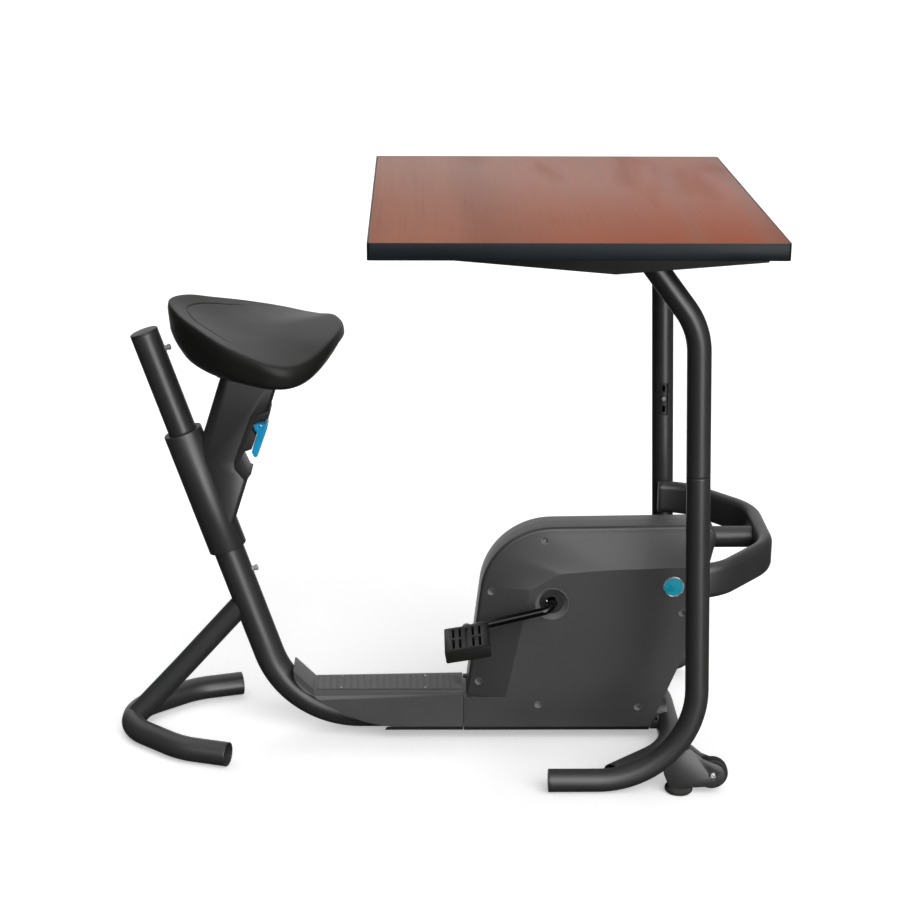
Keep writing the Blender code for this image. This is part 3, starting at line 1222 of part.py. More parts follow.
def seat_edge(column):
    """The saddle's outline with the height in that column of the stations."""
    rows = [(x, -half, heights[column]) for x, half, *heights in SEAT_STATIONS]
    ends = [(rows[1][0], -rows[1][1], rows[1][2]), (rows[-2][0], -rows[-2][1], rows[-2][2])]
    right = smooth_line([ends[0]] + rows + [ends[1]], SEAT_AROUND // 2)
    left = [Vector((p.x, -p.y, p.z)) for p in reversed(right[1:-1])]
    return right + left


def seat_ring(edge, share, lift=0.0):
    return [Vector((SEAT_MIDDLE + (p.x - SEAT_MIDDLE) * share, p.y * share, p.z + lift)) for p in edge]


def seat_top(share):
    ring = []
    for p in seat_edge(0):
        x = SEAT_MIDDLE + (p.x - SEAT_MIDDLE) * share
        z = spine_height(x) + (p.z - spine_height(p.x)) * share ** SEAT_DISH
        ring.append(Vector((x, p.y * share, z)))
    return ring


def make_seat():
    base_z = COLUMN_TOP + GAP + PLATE_THICK + GAP
    rim, skirt, belly = (seat_edge(column) for column in range(3))
    base = []
    for p in rim:
        angle = math.atan2(p.y / SEAT_BASE_WIDE, (p.x - SEAT_MIDDLE) / SEAT_BASE_LONG)
        base.append(Vector((SEAT_MIDDLE + SEAT_BASE_LONG / 2 * math.cos(angle),
                            SEAT_BASE_WIDE / 2 * math.sin(angle), base_z)))
    under = seat_ring(belly, SEAT_BELLY_SHARE)
    between = [(a + b) / 2 - Z_AXIS * SEAT_BASE_LIFT for a, b in zip(under, base)]
    rings = [seat_top(share) for share in SEAT_TOP_SHARES]
    rings += [seat_ring(rim, share, lift) for share, lift in SEAT_SIDE_RINGS]
    rings += [seat_ring(skirt, SEAT_SKIRT_SHARE), under, between, base]
    add("seat", skin(rings), "seat_black", "carriage", smooth=60)


def main():
    for old in list(bpy.data.objects):
        bpy.data.objects.remove(old, do_unlink=True)
    make_main_tubes()
    make_legs()
    make_desk()
    make_desk_arms()
    make_bar()
    make_posts()
    make_wheels()
    make_shroud()
    make_cover()
    make_drive_frame()
    make_drive()
    make_crank()
    make_pedals()
    make_carriage()
    make_lever()
    make_seat()


main()
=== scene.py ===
# Desk exercise bike: the finish of every surface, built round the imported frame.
import math

import bmesh
import bpy
from mathutils import Matrix, Vector, kdtree


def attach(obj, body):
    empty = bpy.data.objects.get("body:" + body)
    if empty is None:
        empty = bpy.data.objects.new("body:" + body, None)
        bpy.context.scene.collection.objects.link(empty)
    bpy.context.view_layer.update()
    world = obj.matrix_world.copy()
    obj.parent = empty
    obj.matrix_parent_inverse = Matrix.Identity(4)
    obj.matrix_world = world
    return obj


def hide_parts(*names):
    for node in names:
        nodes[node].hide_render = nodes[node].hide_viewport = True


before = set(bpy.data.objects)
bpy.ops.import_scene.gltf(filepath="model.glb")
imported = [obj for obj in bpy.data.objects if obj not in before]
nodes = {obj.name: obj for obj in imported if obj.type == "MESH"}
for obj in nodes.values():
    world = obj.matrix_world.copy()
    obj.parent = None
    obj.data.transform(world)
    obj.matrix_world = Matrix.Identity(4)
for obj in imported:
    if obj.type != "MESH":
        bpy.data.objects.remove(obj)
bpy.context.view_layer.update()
print("frame loaded,", len(nodes), "nodes")

alongX, alongY, alongZ = Vector((1, 0, 0)), Vector((0, 1, 0)), Vector((0, 0, 1))
bikeSides = {"right": -1, "left": 1}


# working with one piece at a time

def pickOnly(piece):
    bpy.ops.object.select_all(action="DESELECT")
    piece.select_set(True)
    bpy.context.view_layer.objects.active = piece


def openMesh(piece, mode="VERT", pick="DESELECT"):
    pickOnly(piece)
    bpy.ops.object.mode_set(mode="EDIT")
    bpy.ops.mesh.select_mode(type=mode)
    bpy.ops.mesh.select_all(action=pick)
    return bmesh.from_edit_mesh(piece.data)


def closeMesh():
    bpy.ops.object.mode_set(mode="OBJECT")


def applyPlace():
    bpy.ops.object.transform_apply(location=True, rotation=True, scale=True)


def setAll(thing, settings):
    for label, value in settings.items():
        setattr(thing, label, value)


def useModifier(piece, kind, **settings):
    pickOnly(piece)
    modifier = piece.modifiers.new(kind.lower(), kind)
    setAll(modifier, settings)
    bpy.ops.object.modifier_apply(modifier=modifier.name)


def mendFaces(piece, merge=0.000002):
    openMesh(piece, pick="SELECT")
    bpy.ops.mesh.remove_doubles(threshold=merge)
    bpy.ops.mesh.normals_make_consistent(inside=False)
    closeMesh()


def softenEdges(piece, width, segments=2, angle=32):
    useModifier(piece, "BEVEL", width=width, segments=segments, limit_method="ANGLE", angle_limit=math.radians(angle),
        harden_normals=False)


def cutAway(piece, tools):
    for tool in tools:
        useModifier(piece, "BOOLEAN", operation="DIFFERENCE", solver="EXACT", object=tool)
        bpy.data.objects.remove(tool, do_unlink=True)


def joinInto(piece, others):
    bpy.ops.object.select_all(action="DESELECT")
    for other in others:
        other.select_set(True)
    piece.select_set(True)
    bpy.context.view_layer.objects.active = piece
    bpy.ops.object.join()
    return piece


def finishPiece(piece, name, finish, stands="", angle=30, slotName="", body="frame", side=""):
    # a side stands at the end of the piece's name and of the node's
    name += side.capitalize()
    if side and stands:
        stands += "_" + side
    slotName = slotName or finishes[finish]["slot"]
    piece.name = name
    piece.data.name = name
    pickOnly(piece)
    applyPlace()
    bpy.ops.object.shade_smooth_by_angle(angle=math.radians(angle))
    piece.data.materials.clear()
    piece.data.materials.append(paint[finish])
    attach(piece, body)
    if stands:
        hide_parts(stands)
    return piece


# shapes

def closedLine(points):
    # a circle primitive laid on the points, open for editing
    bpy.ops.object.select_all(action="DESELECT")
    bpy.ops.mesh.primitive_circle_add(vertices=len(points), radius=1)
    piece = bpy.context.object
    for vert, point in zip(piece.data.vertices, points):
        vert.co = point
    openMesh(piece, pick="SELECT")
    return piece


def pullRing(move):
    bpy.ops.mesh.extrude_edges_move(TRANSFORM_OT_translate={"value": move})


def mirroredLine(half, high):
    # a level line across the bike, from the corners of its left half
    return [(x, -y, high) for x, y in half] + [(x, y, high) for x, y in reversed(half)]


def bentTube(corners, bends, tube):
    # a ring is extruded along each straight run and spun round each bend
    corners = [Vector(corner) for corner in corners]
    way = (corners[1] - corners[0]).normalized()
    bpy.ops.object.select_all(action="DESELECT")
    bpy.ops.mesh.primitive_circle_add(vertices=tube.get("facets", 56), radius=tube["radius"], location=corners[0],
        rotation=way.to_track_quat("Z", "Y").to_euler())
    piece = bpy.context.object
    applyPlace()
    if tube.get("lift"):
        stretchRing(piece, corners[0], tube["lift"])
    openMesh(piece, pick="SELECT")
    if tube.get("startPlate"):
        bpy.ops.mesh.edge_face_add()
        bpy.ops.mesh.select_mode(type="EDGE")
    # a ring close to each end keeps the soft end from shading the whole run
    hold = max(0.004, 2 * tube.get("edge", 0.0006))
    pullRing(way * hold)
    here = corners[0] + way * hold
    for before, corner, after, radius in zip(corners, corners[1:], corners[2:], bends):
        wayIn, wayOut = (corner - before).normalized(), (after - corner).normalized()
        turn = wayIn.angle(wayOut)
        reach = radius * math.tan(turn / 2)
        bendStart = corner - wayIn * reach
        inward = (wayOut - wayIn * wayOut.dot(wayIn)).normalized()
        pullRing(bendStart - here)
        bpy.ops.mesh.spin(steps=max(3, math.ceil(turn / math.radians(3.5))), angle=-turn,
            center=bendStart + inward * radius, axis=wayIn.cross(wayOut).normalized())
        here = corner + wayOut * reach
    wayOut = (corners[-1] - corners[-2]).normalized()
    pullRing(corners[-1] - wayOut * hold - here)
    pullRing(wayOut * hold)
    if tube.get("endPlate"):
        bpy.ops.mesh.edge_face_add()
    closeMesh()
    mendFaces(piece)
    if tube.get("wall"):
        useModifier(piece, "SOLIDIFY", thickness=tube["wall"], offset=-1)
    softenEdges(piece, tube.get("edge", 0.0006), angle=50)
    return piece


def stretchRing(piece, middle, lift):
    # the ring's upper and lower halves move apart, which makes a flat oval
    for way in (-1, 1):
        bm = openMesh(piece)
        for vert in bm.verts:
            vert.select = (vert.co.z - middle.z) * way > 0.00001
        bm.select_flush_mode()
        bmesh.update_edit_mesh(piece.data)
        bpy.ops.transform.translate(value=(0, 0, way * lift))
        closeMesh()


def turnedPiece(profile, origin, axis, steps=64):
    # the profile is a closed outline of (radius, place along the axis), spun right round
    axis = Vector(axis).normalized()
    origin = Vector(origin)
    out = axis.cross(alongZ if abs(axis.z) < 0.9 else alongX).normalized()
    piece = closedLine([origin + axis * place + out * radius for radius, place in profile])
    bpy.ops.mesh.spin(steps=steps, angle=math.tau, center=origin, axis=axis)
    closeMesh()
    mendFaces(piece)
    return piece


def turnedSolid(points, origin, axis, steps=64):
    # the profile is closed along the axis
    return turnedPiece([(0, points[0][1])] + list(points) + [(0, points[-1][1])], origin, axis, steps)


def loftedPiece(rings, fillFirst=False, fillLast=False):
    # the first ring is extruded and laid on each next ring
    piece = closedLine(rings[0])
    if fillFirst:
        bpy.ops.mesh.edge_face_add()
        bpy.ops.mesh.select_mode(type="EDGE")
    for before, after in zip(rings, rings[1:]):
        pullRing((0, 0, 0))
        tree = kdtree.KDTree(len(before))
        for index, point in enumerate(before):
            tree.insert(point, index)
        tree.balance()
        bm = bmesh.from_edit_mesh(piece.data)
        for vert in bm.verts:
            if vert.select:
                vert.co = after[tree.find(vert.co)[1]]
        bmesh.update_edit_mesh(piece.data)
    if fillLast:
        bpy.ops.mesh.edge_face_add()
    closeMesh()
    return piece


def platePiece(outline, low, high, origin=(0, 0, 0), across=alongX, up=alongZ, deep=alongY):
    origin = Vector(origin)
    rings = [[origin + across * a + up * b + deep * level for a, b in outline] for level in (low, high)]
    piece = loftedPiece(rings, True, True)
    mendFaces(piece)
    return piece


def cadCopy(node):
    # a merged copy of a CAD node, whose edges can then be softened
    piece = bpy.data.objects.new(node + "Dressed", nodes[node].data.copy())
    bpy.context.scene.collection.objects.link(piece)
    openMesh(piece, pick="SELECT")
    bpy.ops.mesh.remove_doubles(threshold=0.00001)
    bpy.ops.mesh.dissolve_limited(angle_limit=math.radians(0.5))
    closeMesh()
    return piece


def dressNodes(names, finish, edge=0.0006, segments=2, angle=35, body="frame"):
    for node in names:
        piece = cadCopy(node)
        if edge:
            softenEdges(piece, edge, segments, angle)
        finishPiece(piece, node + "Dressed", finish, node, angle, body=body)


def flatBend(corners, bends, step=6):
    # corner points of a flat line with its inner corners rounded
    corners = [Vector(corner) for corner in corners]
    points = [corners[0]]
    for before, corner, after, radius in zip(corners, corners[1:], corners[2:], bends):
        wayIn, wayOut = (corner - before).normalized(), (after - corner).normalized()
        turn = wayIn.angle(wayOut)
        reach = radius * math.tan(turn / 2)
        centre = corner + (wayOut - wayIn).normalized() * (radius / math.cos(turn / 2))
        start = corner - wayIn * reach - centre
        pieces = max(3, math.ceil(turn / math.radians(step)))
        for number in range(pieces + 1):
            angle = turn * number / pieces
            points.append(centre + start * math.cos(angle) + wayIn * radius * math.sin(angle))
    return points + [corners[-1]]


def evenPoints(line, count):
    lengths = [(b - a).length for a, b in zip(line, line[1:])]
    points = []
    for k in range(count + 1):
        left = sum(lengths) * k / count
        for a, b, length in zip(line, line[1:], lengths):
            if left <= length + 1e-9:
                points.append(a.lerp(b, left / length))
                break
            left -= length
    return points


# shared effects

def addNode(tree, kind, values=None, **settings):
    # a socket given as a value is linked, any other value is set
    node = tree.nodes.new(kind)
    setAll(node, settings)
    for label, value in (values or {}).items():
        if isinstance(value, bpy.types.NodeSocket):
            tree.links.new(value, node.inputs[label])
        else:
            node.inputs[label].default_value = value
    return node


def combine(tree, operation, first, second):
    return addNode(tree, "ShaderNodeMath", {0: first, 1: second}, operation=operation).outputs[0]


def spread(tree, value, low, high, first=0.0, last=1.0, kind="LINEAR"):
    return addNode(tree, "ShaderNodeMapRange", {0: value, "From Min": low, "From Max": high, "To Min": first,
        "To Max": last}, interpolation_type=kind).outputs[0]


def fade(tree, value, low, high, first=0.0, last=1.0):
    return spread(tree, value, low, high, first, last, "SMOOTHSTEP")


def noiseAt(tree, place, scale, **values):
    return addNode(tree, "ShaderNodeTexNoise", dict(values, Vector=place, Scale=scale)).outputs[0]


def stretched(tree, place, scale, **values):
    return addNode(tree, "ShaderNodeMapping", dict(values, Vector=place, Scale=scale)).outputs[0]


def pickValue(tree, share, first, second):
    return addNode(tree, "ShaderNodeMix", {0: share, 2: first, 3: second}, data_type="FLOAT").outputs[0]


def blendColours(tree, mask, first, second):
    first, second = [(*colour, 1) if isinstance(colour, tuple) else colour for colour in (first, second)]
    return addNode(tree, "ShaderNodeMix", {0: mask, 6: first, 7: second}, data_type="RGBA").outputs[2]


def startGroup(name, result, **values):
    # an effect takes a place and some numbers, and gives one number
    group = bpy.data.node_groups.new(name, "ShaderNodeTree")
    group.interface.new_socket(name="Vector", in_out="INPUT", socket_type="NodeSocketVector")
    for label, value in values.items():
        socket = group.interface.new_socket(name=label, in_out="INPUT", socket_type="NodeSocketFloat")
        socket.default_value = value
    group.interface.new_socket(name=result, in_out="OUTPUT", socket_type="NodeSocketFloat")
    return group, group.nodes.new("NodeGroupInput").outputs


def endGroup(group, value):
    group.links.new(value, group.nodes.new("NodeGroupOutput").inputs[0])
    return group


def makeGrainGroup():
    # fine orange-peel or moulded grain
    group, given = startGroup("surfaceGrain", "Height", Size=900.0, Pebble=0.3)
    noise = noiseAt(group, given["Vector"], given["Size"], Detail=2.0, Roughness=0.55)
    pebble = addNode(group, "ShaderNodeTexVoronoi", {"Vector": given["Vector"], "Scale": given["Size"]},
        feature="SMOOTH_F1")
    return endGroup(group, pickValue(group, given["Pebble"], noise, pebble.outputs["Distance"]))


def makeDriftGroup():
    # slow changes of tone over a surface
    group, given = startGroup("toneDrift", "Value", Size=6.0)
    noise = noiseAt(group, given["Vector"], given["Size"], Detail=4.0, Roughness=0.5)
    return endGroup(group, spread(group, noise, 0.32, 0.68))


def makeScuffGroup():
    # thin faint handling marks
    group, given = startGroup("fineScuffs", "Mask", Size=30.0, Amount=0.3)
    turned = stretched(group, given["Vector"], (1.0, 9.0, 2.0), Rotation=(0.5, 0.9, 0.3))
    thin = spread(group, noiseAt(group, turned, given["Size"], Detail=5.0, Roughness=0.7), 0.60, 0.72)
    where = spread(group, noiseAt(group, given["Vector"], 5.0, Detail=2.0), 0.50, 0.66)
    return endGroup(group, combine(group, "MULTIPLY", combine(group, "MULTIPLY", thin, where), given["Amount"]))


def makeDustGroup():
    # dust that thins out with height over the floor
    group, given = startGroup("floorDust", "Mask", Height=0.15, Amount=0.3)
    high = addNode(group, "ShaderNodeSeparateXYZ", {0: given["Vector"]}).outputs["Z"]
    low = spread(group, high, 0.0, given["Height"], 1.0, 0.0)
    noise = noiseAt(group, given["Vector"], 60.0, Detail=5.0, Roughness=0.65)
    return endGroup(group, combine(group, "MULTIPLY", combine(group, "MULTIPLY", low, noise), given["Amount"]))


grainGroup, driftGroup, scuffGroup, dustGroup = makeGrainGroup(), makeDriftGroup(), makeScuffGroup(), makeDustGroup()
marks = {"scuffColour": (0.16, 0.16, 0.16), "scuffRough": 0.25, "dustColour": (0.30, 0.29, 0.27)}


def addGroup(tree, group, place, **values):
    return addNode(tree, "ShaderNodeGroup", dict(values, Vector=place), node_tree=group).outputs[0]


def startMaterial(name):
    material = bpy.data.materials.new(name)
    material.use_nodes = True
    return material, material.node_tree, material.node_tree.nodes["Principled BSDF"]


def surface(name, look):
    # a solid finish: slow tone drift, scuffs, floor dust and a fine grain
    material, tree, shader = startMaterial(name)
    place = addNode(tree, "ShaderNodeTexCoord").outputs["Object"]
    drift = addGroup(tree, driftGroup, place, Size=look.get("drift", 6.0))
    dark, pale = [look[name] if isinstance(look[name], tuple) else (look[name],) * 3 for name in ("dark", "colour")]
    colour = blendColours(tree, drift, dark, pale)
    roughness = spread(tree, drift, 0.0, 1.0, *look["rough"])
    if "scuffs" in look:
        amount, size = look["scuffs"]
        scuffs = addGroup(tree, scuffGroup, place, Size=size, Amount=amount)
        colour = blendColours(tree, scuffs, colour, marks["scuffColour"])
        roughness = combine(tree, "ADD", roughness, combine(tree, "MULTIPLY", scuffs, marks["scuffRough"]))
    if "dust" in look:
        amount, height = look["dust"]
        dust = addGroup(tree, dustGroup, place, Height=height, Amount=amount)
        colour = blendColours(tree, dust, colour, marks["dustColour"])
    tree.links.new(colour, shader.inputs["Base Color"])
    tree.links.new(roughness, shader.inputs["Roughness"])
    shader.inputs["Metallic"].default_value = look.get("metal", 0.0)
    shader.inputs["Specular IOR Level"].default_value = look.get("shine", 0.5)
    size, depth, pebble = look["grain"]
    grain = addGroup(tree, grainGroup, place, Size=size, Pebble=pebble)
    bump = addNode(tree, "ShaderNodeBump", {"Strength": 0.5, "Distance": depth, "Height": grain})
    tree.links.new(bump.outputs[0], shader.inputs["Normal"])
    return material


# colours (one number is a neutral grey), roughness from and to, grain as size, depth and share of pebble,
# scuffs as amount and size, dust as amount and height over the floor
finishes = {
    "powderCoat": dict(slot="powder_black", colour=0.038, dark=0.033, rough=(0.36, 0.42), shine=0.45,
        grain=(1400.0, 0.00004, 0.3), scuffs=(0.08, 30.0), dust=(0.06, 0.05)),
    "shroudPlastic": dict(slot="shroud_grey", colour=(0.062, 0.061, 0.061), dark=(0.055, 0.054, 0.054),
        rough=(0.34, 0.4), shine=0.4, grain=(2200.0, 0.00008, 0.7), drift=3.0, scuffs=(0.1, 30.0), dust=(0.06, 0.1)),
    "coverPlastic": dict(slot="cover_grey", colour=(0.076, 0.075, 0.075), dark=(0.068, 0.067, 0.067),
        rough=(0.36, 0.44), shine=0.36, grain=(2200.0, 0.00008, 0.7), scuffs=(0.2, 45.0), dust=(0.1, 0.14)),
    "treadRubber": dict(slot="tread", colour=0.15, dark=0.126, rough=(0.55, 0.7), shine=0.15,
        grain=(1600.0, 0.00015, 0.6), scuffs=(0.25, 60.0), dust=(0.2, 0.2)),
    # near-black finish laid on as painted shade under the lower edges of shroud and cover
    "paintedShadeStrip": dict(slot="rubber_black", colour=0.006, dark=0.004, rough=(0.5, 0.6), shine=0.12,
        grain=(2200.0, 0.00008, 0.3), dust=(0.1, 0.04)),
    "blackPlastic": dict(slot="plastic_black", colour=0.03, dark=0.022, rough=(0.38, 0.48), shine=0.22,
        grain=(2000.0, 0.00008, 0.7), scuffs=(0.12, 30.0)),
    "pedalPlastic": dict(slot="plastic_black", colour=(0.014, 0.014, 0.013), dark=0.009, rough=(0.42, 0.54),
        shine=0.1, grain=(1500.0, 0.00015, 0.6), scuffs=(0.35, 60.0)),
    "blackRubber": dict(slot="rubber_black", colour=0.02, dark=0.013, rough=(0.6, 0.75), shine=0.15,
        grain=(1100.0, 0.00018, 0.5), dust=(0.25, 0.05)),
    "hubPlastic": dict(slot="cover_grey", colour=(0.23, 0.23, 0.226), dark=(0.185, 0.185, 0.181), rough=(0.38, 0.48),
        shine=0.25, grain=(2200.0, 0.00006, 0.3), scuffs=(0.12, 30.0)),
    "crankGloss": dict(slot="crank_black", colour=0.004, dark=0.003, rough=(0.14, 0.2), shine=0.25,
        grain=(900.0, 0.00002, 0.3), scuffs=(0.15, 50.0)),
    "plainSteel": dict(slot="steel", colour=(0.5, 0.5, 0.51), dark=(0.4, 0.4, 0.41), rough=(0.28, 0.4), metal=1.0,
        grain=(1800.0, 0.00004, 0.3), drift=30.0, scuffs=(0.25, 30.0)),
    "castIron": dict(slot="cast_grey", colour=(0.15, 0.15, 0.155), dark=(0.1, 0.1, 0.104), rough=(0.45, 0.6),
        metal=0.9, grain=(700.0, 0.00025, 0.3), drift=20.0, scuffs=(0.2, 30.0)),
    "pinGrey": dict(slot="pin_grey", colour=(0.42, 0.42, 0.425), dark=(0.34, 0.34, 0.345), rough=(0.38, 0.48),
        shine=0.4, grain=(1500.0, 0.00005, 0.3), drift=40.0, scuffs=(0.2, 30.0)),
    "leverBlue": dict(slot="lever_blue", colour=(0.03, 0.56, 1.0), dark=(0.022, 0.5, 0.98), rough=(0.34, 0.42),
        shine=0.3, grain=(2400.0, 0.00005, 0.6), drift=20.0),
    "edgeBand": dict(slot="edge_black", colour=(0.014, 0.018, 0.022), dark=(0.01, 0.013, 0.016), rough=(0.34, 0.44),
        shine=0.12, grain=(1500.0, 0.00008, 0.5), scuffs=(0.1, 30.0)),
    "wheelTyre": dict(slot="plastic_black", colour=0.016, dark=0.011, rough=(0.48, 0.6), shine=0.2,
        grain=(1400.0, 0.0001, 0.5), dust=(0.25, 0.05)),
    "badgeRing": dict(slot="steel", colour=(0.62, 0.62, 0.63), dark=(0.52, 0.52, 0.53), rough=(0.22, 0.32), metal=1.0,
        grain=(2000.0, 0.00003, 0.3), drift=60.0),
    "badgeFace": dict(slot="lever_blue", colour=(0.03, 0.6, 0.82), dark=(0.02, 0.52, 0.74), rough=(0.25, 0.34),
        shine=0.5, grain=(1800.0, 0.00003, 0.3), drift=50.0),
    "saddleSkin": dict(slot="saddle", colour=(0.022, 0.022, 0.021), dark=(0.016, 0.016, 0.015), rough=(0.4, 0.5),
        shine=0.16, grain=(650.0, 0.0002, 0.8), drift=5.0, scuffs=(0.08, 30.0)),
    "cherry": dict(slot="cherry"),
}
paint = {name: surface(name, look) for name, look in finishes.items() if "colour" in look}

# cherry laminate: its colours, then each layer's stretch across, along and through, its noise, and the colour
# laid over with the noise's range and the amount
cherryLook = {
    "body": (0.305, 0.120, 0.074), "bright": (0.290, 0.070, 0.030), "deep": (0.175, 0.060, 0.040),
    "olive": (0.235, 0.120, 0.085), "pore": (0.090, 0.034, 0.022), "rough": (0.34, 0.42), "shine": 0.05,
    # the top turns from the body on the left to the red on the right: the wood's own tone, with a painted reflection
    # that leaves the left paler and greyer
    "toneAndPaintedSheen": (0.05, 0.50, 0.90),
    "layers": {
        "wide": ((1.9, 0.20, 1.0), {"Detail": 1.0, "Roughness": 0.4}, "bright", 0.40, 0.65, 0.30),
        "bands": ((6.0, 0.22, 1.0), {"Detail": 1.5, "Roughness": 0.4, "Distortion": 0.15}, "deep", 0.44, 0.70, 0.70),
        "ribbons": ((15.0, 0.50, 1.0), {"Detail": 2.0, "Distortion": 0.3}, "olive", 0.52, 0.72, 0.30),
        "clouds": ((9.0, 2.2, 1.0), {"Detail": 2.0, "Distortion": 0.5}, "deep", 0.50, 0.78, 0.14),
        "streaks": ((150.0, 2.5, 1.0), {"Detail": 3.0, "Roughness": 0.55}, "deep", 0.45, 0.75, 0.26),
        "pores": ((750.0, 30.0, 1.0), {"Detail": 2.0}, "pore", 0.62, 0.74, 0.26)},
}


def makeCherry():
    look = cherryLook
    material, tree, shader = startMaterial("cherryLaminate")
    place = addNode(tree, "ShaderNodeTexCoord").outputs["Object"]
    across = addNode(tree, "ShaderNodeSeparateXYZ", {0: place}).outputs["X"]
    # left to right across the top: the wood's tone together with painted sheen on the left
    low, high, amount = look["toneAndPaintedSheen"]
    colour = blendColours(tree, fade(tree, across, low, high, 0.0, amount), look["body"], look["bright"])
    masks = {}
    for name, (scale, noise, over, low, high, amount) in look["layers"].items():
        masks[name] = fade(tree, noiseAt(tree, stretched(tree, place, scale), 1.0, **noise), low, high, 0.0, amount)
        colour = blendColours(tree, masks[name], colour, look[over])
    rough = spread(tree, masks["clouds"], 0.0, look["layers"]["clouds"][-1], *look["rough"])
    bump = addNode(tree, "ShaderNodeBump", {"Strength": 0.4, "Distance": 0.00005, "Height": masks["pores"]})
    for value, label in ((colour, "Base Color"), (rough, "Roughness"), (bump.outputs[0], "Normal")):
        tree.links.new(value, shader.inputs[label])
    shader.inputs["Specular IOR Level"].default_value = look["shine"]
    return material


paint["cherry"] = makeCherry()
print("finishes ready,", len(paint))


# the mast, its sleeve and the tubes of the pedal unit
mast = {"at": Vector((-0.404, 0, 0.339)), "lean": math.radians(18.7), "tubeTop": 0.238, "rodTop": 0.525,
    "rodInside": 0.100, "rodRadius": 0.02775, "rodWall": 0.0025}
mastUp = Vector((-math.sin(mast["lean"]), 0, math.cos(mast["lean"])))
mastFore = Vector((math.cos(mast["lean"]), 0, math.sin(mast["lean"])))
mainTube = {"radius": 0.0305, "wall": 0.00245, "high": 0.037, "bend": 0.195, "front": 0.4635, "edge": 0.0007}
brace = {"route": [(-0.388, 0, 0.288), (-0.528, 0, 0.131), (-0.626, 0, 0.024)], "bend": 0.300, "radius": 0.02225,
    "wall": 0.0025}
floorTube = {"radius": 0.024, "wall": 0.0025, "edge": 0.0008, "high": 0.024}
# x of the tube's middle, its left corners as (x from there, y), and the bends
floorRoutes = {
    "rear": (-0.626, [(0.207, 0.169), (0.111, 0.140), (0, 0.046)], [0.150, 0.090, 0.090, 0.150]),
    "front": (0.4635, [(-0.1335, 0.266), (0, 0.145)], [0.170, 0.170])}
# place along the mast and the skin's distance from its axis, then the turned shape as (radius, height)
stopPins = {"upper": (0.484, 0.02805), "lower": (0.002, 0.0308)}
pinShape = [(0.0058, -0.002), (0.0058, 0.0010), (0.0048, 0.0015), (0.0048, 0.0046), (0.0058, 0.0052),
    (0.0060, 0.0062), (0.0060, 0.0090), (0.0054, 0.0103), (0.0040, 0.0109), (0.0020, 0.0110)]


def mastPoint(along, across=0.0):
    return mast["at"] + mastUp * along + mastFore * across


def mainRoute():
    corner = mastPoint((mainTube["high"] - mast["at"].z) / mastUp.z)
    return [mastPoint(mast["tubeTop"]), corner, Vector((mainTube["front"], 0, mainTube["high"]))]


def makeMainTubes():
    piece = bentTube(mainRoute(), [mainTube["bend"]], dict(mainTube, endPlate=True))
    finishPiece(piece, "mainTubeFine", "powderCoat", "main_tube", 40)
    r = mast["rodRadius"]
    ends = [mastPoint(mast["tubeTop"] - mast["rodInside"]), mastPoint(mast["rodTop"])]
    rod = bentTube(ends, [], {"radius": r, "wall": mast["rodWall"]})
    finishPiece(rod, "mastRodFine", "powderCoat", "mast_rod", 40)
    cap = turnedSolid([(0.0240, -0.020), (0.0248, 0.0004), (r, 0.0004), (r, 0.0024), (r * 0.985, 0.0032),
        (r * 0.94, 0.0038), (r * 0.80, 0.00400)], ends[1], mastUp)
    finishPiece(cap, "mastCapFine", "blackPlastic", "mast_cap")
    for name, (along, base) in stopPins.items():
        pin = turnedSolid([(radius, base + height) for radius, height in pinShape], mastPoint(along), mastFore, 40)
        finishPiece(pin, "stopPin" + name.capitalize() + "Fine", "pinGrey", "stop_pin_" + name)
    piece = bentTube(brace["route"], [brace["bend"]], brace)
    finishPiece(piece, "braceFine", "powderCoat", "brace_tube", 40)


def makeFloorTubes():
    for name, (middle, half, bends) in floorRoutes.items():
        corners = mirroredLine([(middle + x, y) for x, y in half], floorTube["high"])
        piece = bentTube(corners, bends, floorTube)
        finishPiece(piece, name + "FloorTube", "powderCoat", name + "_stabilizer", 40)


sleeve = {"radius": 0.03825, "wall": 0.0025, "low": 0.061, "long": 0.256, "chamfer": 0.0015, "bush": 0.030}


def makeSleeve():
    r, inner, c, top = sleeve["radius"], sleeve["radius"] - sleeve["wall"], sleeve["chamfer"], sleeve["long"]
    low = mastPoint(sleeve["low"])
    profile = [(inner, 0.0004), (inner + 0.0006, 0), (r - c, 0), (r - c * 0.3, c * 0.3), (r, c), (r, top - c),
        (r - c * 0.3, top - c * 0.3), (r - c, top), (inner + 0.0006, top), (inner, top - 0.0004)]
    piece = turnedPiece(profile, low, mastUp, 72)
    finishPiece(piece, "seatSleeveFine", "powderCoat", "seat_sleeve", 25, body="carriage")
    for name, start, hold in (("lower", 0.0, mainTube["radius"]), ("upper", top - sleeve["bush"], mast["rodRadius"])):
        end = start + sleeve["bush"]
        profile = [(hold + 0.0006, start + 0.0008), (hold + 0.0014, start), (inner - 0.0003, start),
            (inner - 0.0003, end), (hold + 0.0014, end), (hold + 0.0006, end - 0.0008)]
        ring = turnedPiece(profile, low, mastUp, 72)
        finishPiece(ring, "bush" + name.capitalize() + "Fine", "blackPlastic", "bush_" + name, body="carriage")


makeMainTubes()
makeFloorTubes()
makeSleeve()
print("pedal unit's tubes done")


# desk legs with their coupling windows
leg = {"radius": 0.02225, "wall": 0.0025, "y": 0.280, "footEnd": 0.205, "footCorner": 0.4905, "footBend": 0.184,
    "lean": math.radians(2.08), "seam": 0.640, "topCorner": 0.918, "topBend": 0.140,
    "topLean": math.radians(36.9), "topEnd": 1.058, "window": (0.593, 0.663), "windowWide": 0.018,
    "slotWide": 0.006, "slotTall": 0.014, "slotPlace": 0.013, "couplingReach": 0.075, "couplingWall": 0.003,
    "boltRadius": 0.0042}


def legPoint(height, y):
    return Vector((leg["footCorner"] - (height - leg["radius"]) * math.tan(leg["lean"]), y, height))


